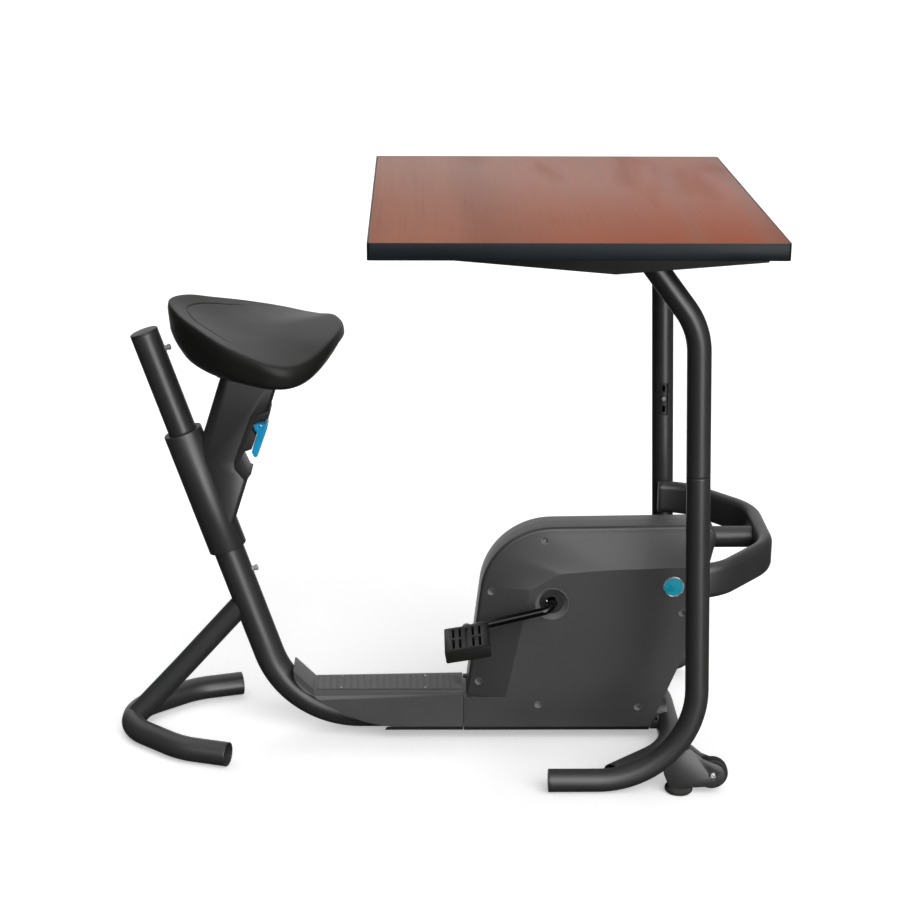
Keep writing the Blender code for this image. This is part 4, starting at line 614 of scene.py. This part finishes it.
def makeLegs():
    rise = leg["topEnd"] - leg["topCorner"]
    for side, sign in bikeSides.items():
        y = sign * leg["y"]
        foot = [Vector((leg["footEnd"], y, leg["radius"])), legPoint(leg["radius"], y), legPoint(leg["seam"], y)]
        lower = bentTube(foot, [leg["footBend"]], {"radius": leg["radius"], "wall": leg["wall"], "startPlate": True,
            "edge": 0.0012})
        corner = legPoint(leg["topCorner"], y)
        top = corner + Vector((-rise * math.tan(leg["topLean"]), 0, rise))
        upper = bentTube([legPoint(leg["seam"] + 0.0006, y), corner, top], [leg["topBend"]], {"radius": leg["radius"],
            "wall": leg["wall"], "edge": 0.0009})
        middle = legPoint(sum(leg["window"]) / 2, y)
        skin = y - sign * leg["radius"]
        for piece in (lower, upper):
            tall = leg["window"][1] - leg["window"][0]
            cutAway(piece, [roundedBlock((middle.x, skin + sign * 0.001, middle.z), (leg["windowWide"], 0.0095, tall),
                0.0035)])
        finishPiece(lower, "lowerLeg", "powderCoat", "lower_leg", 40, side=side)
        finishPiece(upper, "upperLeg", "powderCoat", "upper_leg", 40, side=side)
        makeCoupling(side, sign, y, middle)


def roundedBlock(at, size, radius):
    # a block whose edges across the bike are rounded
    bpy.ops.mesh.primitive_cube_add(size=1, location=at, scale=size)
    piece = bpy.context.object
    applyPlace()
    bm = openMesh(piece, "EDGE")
    for edge in bm.edges:
        run = (edge.verts[1].co - edge.verts[0].co).normalized()
        edge.select = abs(run.dot(alongY)) > 0.99
    bmesh.update_edit_mesh(piece.data)
    bpy.ops.mesh.bevel(offset=radius, segments=5, affect="EDGES")
    closeMesh()
    return piece


def makeCoupling(side, sign, y, middle):
    inner = leg["radius"] - leg["wall"] - 0.0003
    low, high = leg["seam"] - leg["couplingReach"], leg["seam"] + leg["couplingReach"]
    piece = bentTube([legPoint(low, y), legPoint(high, y)], [], {"radius": inner, "wall": leg["couplingWall"]})
    face = y - sign * inner
    tools = []
    for height in (leg["window"][0] + leg["slotPlace"], leg["window"][1] - leg["slotPlace"]):
        at = legPoint(height, y)
        tools.append(roundedBlock((at.x, face + sign * 0.002, height), (leg["slotWide"], 0.012, leg["slotTall"]),
            0.0022))
    cutAway(piece, tools)
    finishPiece(piece, "legCoupling", "blackPlastic", "leg_coupling", 40, slotName="powder_black", side=side)
    r = leg["boltRadius"]
    head = turnedSolid([(r, -0.0006), (r, 0.0012), (r * 0.9, 0.0018), (r * 0.5, 0.0021), (r * 0.45, 0.0010)],
        (middle.x, face, middle.z), -alongY * sign, 32)
    finishPiece(head, "couplingBolt", "pinGrey", slotName="powder_black", side=side)


makeLegs()
print("desk legs done")


# bumper bar, neck, and what stands inside the shroud
bar = {"radius": 0.015, "lift": 0.019, "facets": 58, "edge": 0.0040, "startPlate": True, "endPlate": True,
    "high": 0.418, "half": [(0.462, 0.24245), (0.5175, 0.24245), (0.635, 0.1024)],
    "bends": [0.100, 0.120, 0.120, 0.100]}
neckTube = {"start": 0.512, "end": 0.6215, "radius": 0.02125, "wall": 0.0025}


def makeBar():
    piece = bentTube(mirroredLine(bar["half"], bar["high"]), bar["bends"], bar)
    finishPiece(piece, "bumperBar", "powderCoat", "front_bar", 35)
    neck = bentTube([(neckTube[end], 0, bar["high"]) for end in ("start", "end")], [], neckTube)
    finishPiece(neck, "neckFine", "powderCoat", "neck_tube", 40)


makeBar()
dressNodes(["front_post", "bottom_bracket", "flywheel_fork"], "powderCoat", 0.0004)
dressNodes(["crank_bearing_left", "crank_bearing_right", "magnet_brake"], "plainSteel", 0.0002)
dressNodes(["drive_belt"], "blackRubber", 0)
dressNodes(["flywheel"], "castIron", 0.0008, body="flywheel")
dressNodes(["flywheel_pulley", "flywheel_shaft"], "plainSteel", 0.0003, body="flywheel")
dressNodes(["drive_pulley"], "blackPlastic", 0.0003, body="crank")
print("bar and inner parts done")


# desk
armScrew = {"radius": 0.0042, "x": (0.050, 0.170, 0.420, 0.535), "y": 0.280, "flange": 0.0368, "seat": 1.0732}


def makeDesk():
    dressNodes(["desk_top"], "cherry", 0.0005)
    dressNodes(["desk_edge_band"], "edgeBand", 0.0005)
    dressNodes(["desk_arm_right", "desk_arm_left"], "powderCoat", 0.0007)
    r = armScrew["radius"]
    shape = [(r, 0), (r * 0.96, 0.0008), (r * 0.75, 0.0018), (r * 0.42, 0.0023), (r * 0.38, 0.0012)]
    for side, sign in bikeSides.items():
        for number, x in enumerate(armScrew["x"]):
            for label, way in (("in", -1), ("out", 1)):
                y = sign * armScrew["y"] + way * armScrew["flange"]
                head = turnedSolid(shape, (x, y, armScrew["seat"]), -alongZ, 24)
                name = "armScrew%s%d%s" % (side.capitalize(), number, label)
                finishPiece(head, name, "plainSteel")


makeDesk()
print("desk done")


# shroud
shroud = {"half": 0.058, "rim": 0.038, "roll": 0.008, "low": 0.022, "ledge": 0.0955, "back": 0.047,
    "rimBack": 0.053, "topBack": (0.0947, 0.4480), "topFront": (0.5532, 0.4547), "topBends": (0.145, 0.028),
    "frontHigh": (0.537, 0.379), "frontKnee": (0.511, 0.2423), "frontLow": 0.4241, "kneeBend": 0.080,
    "creaseFoot": 0.132, "creaseBack": (0.178, 0.327), "creaseCorner": (0.2365, 0.3605),
    "creaseTop": (0.330, 0.3680), "creaseFront": (0.500, 0.3745), "creaseBend": 0.030, "panelEdge": 0.0008,
    "wall": 0.0025, "strip": 0.0290, "hubAt": (0.221, 0.2967), "hubRadius": 0.0338, "cupRadius": 0.0335,
    "badgeAt": (0.462, 0.333), "badge": 0.0212, "clearance": 0.001,
    "screws": [(0.2055, 0.424), (0.1006, 0.316), (0.0768, 0.122), (0.1975, 0.078), (0.399, 0.072),
    (0.481, 0.277)]}


def shroudOutline(panel, inset, edge):
    s = shroud
    low, back = s["low"] + edge, s["back"] + edge
    frontLow = Vector((s["frontLow"] - edge, low))
    frontKnee = Vector((s["frontKnee"][0] - edge, s["frontKnee"][1]))
    frontHigh = Vector((s["frontHigh"][0] - inset, s["frontHigh"][1]))
    if panel:
        points = [Vector(point) for point in ((s["creaseFoot"], s["ledge"] - inset), s["creaseBack"],
            s["creaseCorner"], s["creaseTop"], s["creaseFront"])]
        border = [[points[0], points[1]], flatBend(points[1:4], [s["creaseBend"]]), [points[3], points[4]],
            [points[4], frontHigh]]
    else:
        corners = [Vector((s["rimBack"] + inset, s["ledge"] - inset)),
            Vector((s["topBack"][0] + inset, s["topBack"][1] - inset)),
            Vector((s["topFront"][0] - inset, s["topFront"][1] - inset)), frontHigh]
        first = flatBend(corners[:3], [s["topBends"][0] - inset], 3)
        second = flatBend(corners[1:], [s["topBends"][1] - inset], 6)
        border = [first[0:2], first[1:-1], [first[-2], second[1]], second[1:]]
    points = []
    for line, count in zip(border, (8, 40, 16, 16)):
        points += evenPoints(line, count)[:-1]
    points += evenPoints(flatBend([frontHigh, frontKnee, frontLow], [s["kneeBend"]], 4), 20)[:-1]
    points += evenPoints([frontLow, Vector((back, low))], 10)[:-1]
    points += evenPoints([Vector((back, low)), Vector((back, s["ledge"] - edge))], 4)
    return points


def shroudLevels():
    # outline, inset and distance from the middle plane, from the seam to the raised panel
    roll = shroud["roll"]
    levels = [(False, 0.0, 0.0004), (False, 0.0, shroud["rim"] - roll)]
    for step in range(1, 7):
        turn = math.radians(15 * step)
        levels.append((False, roll * (1 - math.cos(turn)), shroud["rim"] - roll * (1 - math.sin(turn))))
    levels.append((True, shroud["panelEdge"], shroud["half"]))
    return levels


def makeShroud():
    for side, sign in bikeSides.items():
        rings = []
        for panel, inset, y in shroudLevels():
            edge = shroud["panelEdge"] if panel else 0.0
            rings.append([Vector((point.x, sign * y, point.y)) for point in shroudOutline(panel, inset, edge)])
        border = [[a.lerp(b, share) for a, b in zip(rings[-2], rings[-1])] for share in (0.08, 0.5, 0.94)]
        rings[-1:] = border + rings[-1:]
        piece = loftedPiece(rings, fillLast=True)
        mendFaces(piece)
        useModifier(piece, "SOLIDIFY", thickness=shroud["wall"], offset=-1)
        x, z = shroud["hubAt"]
        r = shroud["hubRadius"]
        tools = [turnedSolid([(r, 0.03), (r, 0.08)], (x, 0, z), alongY * sign, 72)]
        r = mainTube["radius"] + shroud["clearance"]
        tube = bentTube(mainRoute(), [mainTube["bend"]], {"radius": r, "startPlate": True, "endPlate": True})
        r = neckTube["radius"] + shroud["clearance"]
        neck = turnedSolid([(r, 0), (r, 0.2)], (0.500, 0, bar["high"]), alongX, 56)
        places = skinPlaces(piece, sign, shroud["screws"])
        r, deep = screwCup["hole"], screwCup["deep"]
        holes = [turnedSolid([(r, -deep), (r, deep)], point, out, 32) for point, out in places]
        cutAway(piece, tools + [tube, neck] + holes)
        sharpenPanel(piece)
        finishPiece(piece, "shroudHalf", "shroudPlastic", "shroud", side=side)
        makeHubCup(side, sign)
        makeScrewCups(side, places)
        makeBadge(side, sign)
        makeShadeStrips(side, sign)


def sharpenPanel(piece):
    # the flat panel keeps a crisp edge towards its sloping border
    bm = openMesh(piece, "EDGE")
    for edge in bm.edges:
        level = [abs(face.normal.y) > 0.99999 for face in edge.link_faces]
        edge.select = len(level) == 2 and level[0] != level[1]
    bmesh.update_edit_mesh(piece.data)
    bpy.ops.mesh.mark_sharp()
    closeMesh()


def skinPlaces(piece, sign, spots):
    # where each spot seen from the side lies on the skin, and which way the skin faces there
    bpy.context.view_layer.update()
    found = []
    for x, z in spots:
        _, point, out, _ = piece.ray_cast(Vector((x, sign * 0.2, z)), Vector((0, -sign, 0)))
        found.append((point.copy(), out.copy()))
    return found


screwCup = {"hole": 0.0074, "deep": 0.008,
    "shape": [(0.0002, -0.0072), (0.0075, -0.0072), (0.0075, 0.0001), (0.0072, 0.0003), (0.0068, 0.0001),
    (0.0064, -0.0006), (0.0040, -0.0036), (0.0036, -0.0060), (0.0002, -0.0060)]}


def makeScrewCups(side, places):
    # one recessed screw, then a copy in each hole
    first = turnedPiece(screwCup["shape"], (0, 0, 0), alongZ, 32)
    for number, (point, out) in enumerate(places):
        cup = first.copy()
        cup.data = first.data.copy()
        bpy.context.scene.collection.objects.link(cup)
        cup.matrix_world = Matrix.Translation(point) @ out.to_track_quat("Z", "Y").to_matrix().to_4x4()
        name = "screwCup%s%d" % (side.capitalize(), number)
        finishPiece(cup, name, "hubPlastic", slotName="shroud_grey")
    bpy.data.objects.remove(first, do_unlink=True)


def makeBadge(side, sign):
    at, r = Vector((shroud["badgeAt"][0], sign * shroud["half"], shroud["badgeAt"][1])), shroud["badge"]
    ring = turnedPiece([(r - 0.0024, -0.0004), (r, -0.0004), (r, 0.0012), (r - 0.0006, 0.0018), (r - 0.0018, 0.0018),
        (r - 0.0024, 0.0012)], at, alongY * sign, 64)
    finishPiece(ring, "badgeRing", "badgeRing", side=side)
    face = turnedSolid([(r - 0.0024, -0.0004), (r - 0.0024, 0.0011), (r * 0.5, 0.0015)], at, alongY * sign, 64)
    finishPiece(face, "badgeFace", "badgeFace", side=side)


lug = {"at": (0.4360, 0.050, 0.0350), "half": 0.0025, "hole": (0.0020, 0.0070), "holeRadius": 0.0030,
    "outline": [(-0.0100, -0.0140), (0.0070, -0.0140), (0.0085, -0.0090), (0.0085, 0.0120), (0.0050, 0.0160),
    (-0.0010, 0.0160)]}


# places of the painted-shade strips along the lower edges of shroud and cover
shadeStrips = {"back": 0.0475, "lift": 0.0002, "inFront": 0.0012, "sunk": 0.0004, "proud": 0.0005,
    "cover": {"front": 0.0465, "back": -0.112, "backTop": -0.108, "face": 0.057}}


def makeShadeStrips(side, sign):
    # a near-black strip along the lower edge of shroud and cover, painted shade where the edge turns under, and the
    # small lug in front of it
    low, high = shroud["low"] + shadeStrips["lift"], shroud["strip"]
    slope = (shroud["frontKnee"][0] - shroud["frontLow"]) / (shroud["frontKnee"][1] - shroud["low"])
    back, front, cover = shadeStrips["back"], shroud["frontLow"] - shadeStrips["inFront"], shadeStrips["cover"]
    outlines = {
        "shroudShadeStrip": [(back, low), (front, low), (front + (high - low) * slope, high), (back, high)],
        "coverShadeStrip": [(cover["back"], low), (cover["front"], low), (cover["front"], high), (cover["backTop"], high)]}
    for name, face in (("shroudShadeStrip", shroud["half"]), ("coverShadeStrip", cover["face"])):
        strip = platePiece(outlines[name], sign * (face - shadeStrips["sunk"]), sign * (face + shadeStrips["proud"]))
        softenEdges(strip, 0.0003, 1, 40)
        finishPiece(strip, name, "paintedShadeStrip", side=side)
    x, y, z = lug["at"]
    piece = platePiece([(x + a, z + b) for a, b in lug["outline"]], sign * y - lug["half"], sign * y + lug["half"])
    a, b = lug["hole"]
    cutAway(piece, [turnedSolid([(lug["holeRadius"], -0.01), (lug["holeRadius"], 0.01)], (x + a, sign * y, z + b),
        alongY, 24)])
    softenEdges(piece, 0.0006, 2, 40)
    finishPiece(piece, "lug", "powderCoat", side=side)


def makeHubCup(side, sign):
    x, z = shroud["hubAt"]
    face, r = shroud["half"], shroud["cupRadius"]
    # a light ring with a deep dark floor round the crank's opening
    profile = [(0.0245, face - 0.0118), (r, face - 0.0118), (r, face + 0.0002), (r - 0.0006, face + 0.0006),
        (r - 0.0012, face + 0.0004), (r - 0.0018, face - 0.0006), (r - 0.0088, face - 0.0086),
        (r - 0.0090, face - 0.0104)]
    cup = turnedPiece(profile, (x, 0, z), alongY * sign, 80)
    finishPiece(cup, "hubCup", "hubPlastic", "hub_cup", side=side)
    disc = turnedPiece([(0.0115, face - 0.0120), (0.0247, face - 0.0120), (0.0247, face - 0.0102),
        (0.0165, face - 0.0102), (0.0155, face - 0.0092), (0.0122, face - 0.0092), (0.0115, face - 0.0098)],
        (x, 0, z), alongY * sign, 80)
    finishPiece(disc, "hubFloor", "blackPlastic", side=side)


makeShroud()
print("shroud done")


# base cover, tread and brackets
dressNodes(["base_cover"], "coverPlastic", 0.0016, 3, 12)
dressNodes(["tread_strip"], "treadRubber", 0.0003)
dressNodes(["wheel_bracket_right", "wheel_bracket_left"], "powderCoat", 0.0005, 2, 40)

deckScrew = {"x": (-0.200, -0.030), "y": 0.029, "seat": 0.1028,
    "shape": [(0.0026, 0), (0.0026, 0.0008), (0.0020, 0.0014), (0.0010, 0.0015), (0.0009, 0.0006)]}
for number, x in enumerate(deckScrew["x"]):
    for sign in (-1, 1):
        head = turnedSolid(deckScrew["shape"], (x, sign * deckScrew["y"], deckScrew["seat"]), alongZ, 24)
        finishPiece(head, "deckScrew%d" % (number * 2 + (sign > 0)), "plainSteel")

wheel = {"at": (0.519, 0.280, 0.039), "radius": 0.031, "half": 0.010, "bore": 0.0046, "boltRadius": 0.004,
    "bracketHalf": 0.015, "footAt": (0.457, 0.280), "footRadius": 0.027}


def makeWheels():
    r, h = wheel["radius"], wheel["half"]
    for side, sign in bikeSides.items():
        x, y, z = wheel["at"]
        centre = Vector((x, sign * y, z))
        face = [(wheel["bore"], -h), (r * 0.30, -h), (r * 0.33, -h * 0.92), (r * 0.36, -h * 0.62),
            (r * 0.62, -h * 0.58), (r * 0.66, -h * 0.88), (r * 0.70, -h * 0.97), (r * 0.93, -h * 0.97),
            (r * 0.965, -h * 0.92), (r * 0.99, -h * 0.75), (r, -h * 0.55)]
        profile = face + [(radius, -place) for radius, place in reversed(face)]
        tyre = turnedPiece(profile, centre, alongY, 80)
        finishPiece(tyre, "wheelFine", "wheelTyre", "wheel", body="wheel_" + side, side=side)
        head, b = wheel["bracketHalf"] + 0.0003, wheel["boltRadius"]
        bolt = turnedSolid([(b * 0.55, -head - 0.0022), (b * 0.62, -head - 0.0040), (b * 1.30, -head - 0.0038),
            (b * 1.58, -head - 0.0026), (b * 1.6, -head), (b, -head), (b, head), (b * 1.7, head),
            (b * 1.7, head + 0.0042), (b * 1.5, head + 0.0050), (b * 0.9, head + 0.0050)], centre, alongY, 48)
        finishPiece(bolt, "wheelBoltFine", "plainSteel", "wheel_bolt", side=side)
        f = wheel["footRadius"]
        foot = turnedSolid([(f * 0.84, 0.0), (f * 0.90, 0.0004), (f * 0.985, 0.0032), (f, 0.0045), (f, 0.0080),
            (f * 0.98, 0.0090), (f * 0.90, 0.0122), (f * 0.86, 0.0132), (0.005, 0.0132), (0.005, 0.034)],
            (wheel["footAt"][0], sign * wheel["footAt"][1], 0), alongZ, 64)
        finishPiece(foot, "levellingFootFine", "blackRubber", "levelling_foot", side=side)


makeWheels()
print("cover, wheels and feet done")


# crank and pedals
crank = {"at": Vector((0.221, 0, 0.2967)), "drop": math.radians(14.0), "length": 0.175, "armY": 0.085,
    "radius": 0.008, "bend": 0.022, "eye": 0.0098, "eyeHalf": 0.0085, "pedalY": 0.1525,
    "spindle": 0.004, "pedalInside": 0.057, "pedalOutside": 0.0514}
crankWay = Vector((-math.cos(crank["drop"]), 0, -math.sin(crank["drop"])))


def pedalAxis(sign):
    return crank["at"] - crankWay * (sign * crank["length"])


def makeCrank():
    y = crank["armY"]
    out = alongY * y
    corners = [pedalAxis(-1) - out, crank["at"] - out, crank["at"] + out, pedalAxis(1) + out]
    piece = bentTube(corners, [crank["bend"], crank["bend"]], {"radius": crank["radius"], "startPlate": True,
        "endPlate": True, "facets": 40})
    e, h = crank["eye"], crank["eyeHalf"]
    eyes = [turnedPiece([(0.0046, -h), (e - 0.0012, -h), (e - 0.0004, -h + 0.0004), (e, -h + 0.0012), (e, h - 0.0012),
        (e - 0.0004, h - 0.0004), (e - 0.0012, h), (0.0046, h)], pedalAxis(sign) + alongY * (sign * y), alongY,
        48) for sign in bikeSides.values()]
    joinInto(piece, eyes)
    finishPiece(piece, "crankFine", "crankGloss", "crank", 35, body="crank")
    for side, sign in bikeSides.items():
        r, flange = crank["spindle"], y + h + 0.0003
        inner, end = crank["pedalY"] - crank["pedalInside"], crank["pedalY"] + crank["pedalOutside"]
        spindle = turnedSolid([(r, y - h - 0.001), (r, flange), (r * 1.7, flange), (r * 1.7, inner - 0.0003),
            (r, inner - 0.0003), (r, end)], pedalAxis(sign), alongY * sign, 36)
        finishPiece(spindle, "pedalSpindleFine", "plainSteel", "pedal_spindle", body="crank", side=side)


makeCrank()
for side in bikeSides:
    dressNodes(["pedal_" + side], "pedalPlastic", 0.0006, 2, 32, body="pedal_" + side)
print("crank and pedals done")


# seat column with its lever
dressNodes(["seat_column", "seat_plate"], "powderCoat", 0.0006, 2, 40, body="carriage")
dressNodes(["lever_housing"], "blackPlastic", 0.0006, 3, 40, body="carriage")
dressNodes(["lever_pin"], "plainSteel", 0.0003, 2, 40, body="carriage")
dressNodes(["release_lever"], "leverBlue", 0.0010, 3, 40, body="lever")
print("column and lever done")


# saddle
saddle = {
    # x, half width, then the heights of the rim, of the skirt's edge and of the belly
    "stations": [(-0.5235, 0.000, 0.905, 0.850, 0.806), (-0.4985, 0.082, 0.896, 0.842, 0.800),
        (-0.4535, 0.137, 0.878, 0.826, 0.790), (-0.4035, 0.187, 0.860, 0.810, 0.787),
        (-0.3535, 0.217, 0.845, 0.801, 0.784), (-0.3135, 0.232, 0.834, 0.795, 0.783),
        (-0.2735, 0.221, 0.828, 0.793, 0.783), (-0.2395, 0.180, 0.833, 0.800, 0.786),
        (-0.2075, 0.108, 0.848, 0.822, 0.794), (-0.1885, 0.000, 0.854, 0.834, 0.806)],
    "spine": [(-0.5235, 0.903), (-0.4635, 0.874), (-0.3935, 0.853), (-0.3235, 0.843), (-0.2535, 0.845),
        (-0.1885, 0.852)],
    "middle": -0.3685, "around": 144, "dish": 2.5, "seat": 0.7616, "baseLong": 0.150, "baseWide": 0.100,
    "groove": (-0.440, -0.370),
}


def smoothLine(points, count):
    rows = [Vector(point) for point in points]
    result = []
    for k in range(count + 1):
        place = (len(rows) - 3) * k / count
        index = min(int(place), len(rows) - 4)
        t = place - index
        a, b, c, d = rows[index:index + 4]
        result.append(0.5 * ((2 * b) + (c - a) * t + (2 * a - 5 * b + 4 * c - d) * t * t
            + (3 * b - a - 3 * c + d) * t ** 3))
    return result


def spineHeight(x):
    rows = saddle["spine"]
    rows = [(2 * rows[0][0] - rows[1][0], 2 * rows[0][1] - rows[1][1])] + rows
    rows.append((2 * rows[-1][0] - rows[-2][0], 2 * rows[-1][1] - rows[-2][1]))
    line = smoothLine([Vector((x1, z1)) for x1, z1 in rows], 60)
    for a, b in zip(line, line[1:]):
        if x <= b.x:
            return a.y + (b.y - a.y) * (x - a.x) / (b.x - a.x)
    return line[-1].y


def saddleEdge(column):
    rows = [(x, -half, heights[column]) for x, half, *heights in saddle["stations"]]
    ends = [(rows[1][0], -rows[1][1], rows[1][2]), (rows[-2][0], -rows[-2][1], rows[-2][2])]
    right = smoothLine([ends[0]] + rows + [ends[1]], saddle["around"] // 2)
    left = [Vector((p.x, -p.y, p.z)) for p in reversed(right[1:-1])]
    return right + left


def saddleRing(edge, share, lift=0.0):
    mid = saddle["middle"]
    return [Vector((mid + (p.x - mid) * share, p.y * share, p.z + lift)) for p in edge]


def saddleTop(rim, share, drop=0.0):
    ring = []
    for p in rim:
        x = saddle["middle"] + (p.x - saddle["middle"]) * share
        z = spineHeight(x) + (p.z - spineHeight(p.x)) * share ** saddle["dish"] - drop
        ring.append(Vector((x, p.y * share, z)))
    return ring


def pressedLine(ring, depth):
    # the line pressed round the back of the seat runs out towards the nose
    low, high = saddle["groove"]
    shares = [min(1, max(0, (high - p.x) / (high - low))) for p in ring]
    return [p - alongZ * depth * share * share * (3 - 2 * share) for p, share in zip(ring, shares)]


def makeSaddle():
    rim, skirt, belly = (saddleEdge(column) for column in range(3))
    base = []
    for p in rim:
        angle = math.atan2(p.y / saddle["baseWide"], (p.x - saddle["middle"]) / saddle["baseLong"])
        base.append(Vector((saddle["middle"] + saddle["baseLong"] / 2 * math.cos(angle),
            saddle["baseWide"] / 2 * math.sin(angle), saddle["seat"])))
    rings = [saddleTop(rim, share) for share in (0.03, 0.12, 0.22, 0.32, 0.42, 0.52, 0.60, 0.66, 0.71, 0.745)]
    rings += [pressedLine(saddleTop(rim, share), depth) for share, depth in ((0.760, 0.0), (0.767, 0.0010),
        (0.773, 0.0017), (0.779, 0.0010), (0.786, 0.0))]
    rings += [saddleTop(rim, share) for share in (0.80, 0.83, 0.86, 0.90, 0.93)]
    rings += [saddleTop(rim, 0.955, 0.0001), saddleTop(rim, 0.972, 0.0005), saddleTop(rim, 0.985, 0.0014)]
    rings += [saddleRing(rim, share, lift) for share, lift in ((0.996, -0.0042), (1.002, -0.0078), (1.006, -0.0120),
        (1.008, -0.0170))]
    under = saddleRing(belly, 0.85)
    low = saddleRing(skirt, 0.985)
    rings += [[a.lerp(b, share) for a, b in zip(rings[-1], low)] for share in (0.35, 0.7, 1.0)]
    rings += [[a.lerp(b, share) + alongZ * lift for a, b in zip(low, under)] for share,
        lift in ((0.12, -0.003), (0.3, -0.005), (0.6, -0.004), (1.0, 0.0))]
    rings.append([(a + b) / 2 - alongZ * 0.004 for a, b in zip(under, base)])
    rings.append(base)
    piece = loftedPiece(rings, fillFirst=True, fillLast=True)
    mendFaces(piece)
    finishPiece(piece, "saddle", "saddleSkin", "seat", 60, body="carriage")


makeSaddle()
print("saddle done")


# floor, light and view
studio = {"floorPale": (0.86, 0.86, 0.86), "floorBounce": (0.10, 0.10, 0.10), "floorGlow": 0.37, "ambient": 0.07,
    "dim": 0.03, "sweep": (0.78, 0.94),
    "cards": [  # degrees to the right of the view, half width, softness, lowest and highest, brightness
    (24, 0.20, 0.14, -0.22, 0.10, 13.0), (6, 0.60, 0.20, 0.12, 0.72, 3.0)],
    "lamps": {  # degrees round to the right of the view and up, power, softness in degrees
    "keyLight": (28, 34, 2.5, 60), "topLight": (180, 78, 1.45, 80), "backLight": (205, 35, 0.12, 50)}}


def seenWhite(path):
    # what the camera sees, also through something clear
    return combine(path.id_data, "MAXIMUM", path.outputs["Is Camera Ray"], path.outputs["Is Transmission Ray"])


def makeFloor():
    # white where it is looked at, darker as a source of bounced light
    bpy.ops.mesh.primitive_plane_add(size=60, location=(0, 0, -0.0005))
    floor = bpy.context.object
    floor.name = "studioFloor"
    floor.visible_glossy = False
    material, tree, shader = startMaterial("paleFloor")
    seen = seenWhite(addNode(tree, "ShaderNodeLightPath"))
    tree.links.new(blendColours(tree, seen, studio["floorBounce"], studio["floorPale"]), shader.inputs["Base Color"])
    shader.inputs["Roughness"].default_value = 0.8
    shader.inputs["Specular IOR Level"].default_value = 0.0
    shader.inputs["Emission Color"].default_value = (1, 1, 1, 1)
    tree.links.new(combine(tree, "MULTIPLY", seen, studio["floorGlow"]), shader.inputs["Emission Strength"])
    floor.data.materials.append(material)


def makeWorld():
    # seen and shone through it is white; reflections find the white sweep behind, and lit cards in a dim studio
    world = bpy.data.worlds.new("studio")
    bpy.context.scene.world = world
    world.use_nodes = True
    tree = world.node_tree
    sky = tree.nodes["Background"]
    sky.inputs["Color"].default_value = (1, 1, 1, 1)
    path = addNode(tree, "ShaderNodeLightPath")
    way = addNode(tree, "ShaderNodeTexCoord").outputs["Generated"]

    def along(direction):
        return addNode(tree, "ShaderNodeVectorMath", {0: way, 1: direction}, operation="DOT_PRODUCT").outputs["Value"]

    high = along(alongZ)
    lit = None
    for turn, half, soft, down, up, glow in studio["cards"]:
        a = math.radians(turn)
        across, towards = along((math.cos(a), math.sin(a), 0)), along((math.sin(a), -math.cos(a), 0))
        share = combine(tree, "MULTIPLY", fade(tree, across, -half - soft, -half + soft), glow)
        for mask in (fade(tree, across, half - soft, half + soft, 1.0, 0.0), fade(tree, towards, 0.05, 0.25),
                fade(tree, high, down - 0.1, down + 0.1), fade(tree, high, up - 0.1, up + 0.1, 1.0, 0.0)):
            share = combine(tree, "MULTIPLY", mask, share)
        lit = share if lit is None else combine(tree, "MAXIMUM", lit, share)
    sweep = fade(tree, along(alongY), *studio["sweep"], studio["dim"], 1.0)
    plain = pickValue(tree, seenWhite(path), studio["ambient"], 1.0)
    mirrored = combine(tree, "MAXIMUM", sweep, lit)
    tree.links.new(pickValue(tree, path.outputs["Is Glossy Ray"], plain, mirrored), sky.inputs["Strength"])


def makeStudio():
    makeFloor()
    makeWorld()
    for name, (turn, up, power, soft) in studio["lamps"].items():
        light = bpy.data.lights.new(name, "SUN")
        light.energy, light.angle = power, math.radians(soft)
        holder = bpy.data.objects.new(name, light)
        a, e = math.radians(turn), math.radians(up)
        towards = Vector((math.cos(e) * math.sin(a), -math.cos(e) * math.cos(a), math.sin(e)))
        holder.location = towards * 4
        holder.rotation_euler = (-towards).to_track_quat("-Z", "Y").to_euler()
        bpy.context.scene.collection.objects.link(holder)

    view = {"at": (-0.049, -3.7436, 1.8029), "right": (0.999855, -0.016182, 0.005202), "lens": 80,
        "forward": (0.016998, 0.951884, -0.305987)}
    camera = bpy.data.cameras.new("photoView")
    camera.lens, camera.sensor_width = view["lens"], 36
    holder = bpy.data.objects.new("photoView", camera)
    right, forward = Vector(view["right"]).normalized(), Vector(view["forward"]).normalized()
    up = right.cross(forward)
    turn = Matrix((right, up, -forward)).transposed().to_4x4()
    holder.matrix_world = Matrix.Translation(view["at"]) @ turn
    bpy.context.scene.collection.objects.link(holder)
    bpy.context.scene.camera = holder
    bpy.context.scene.view_settings.view_transform = "Standard"


makeStudio()
print("studio ready")
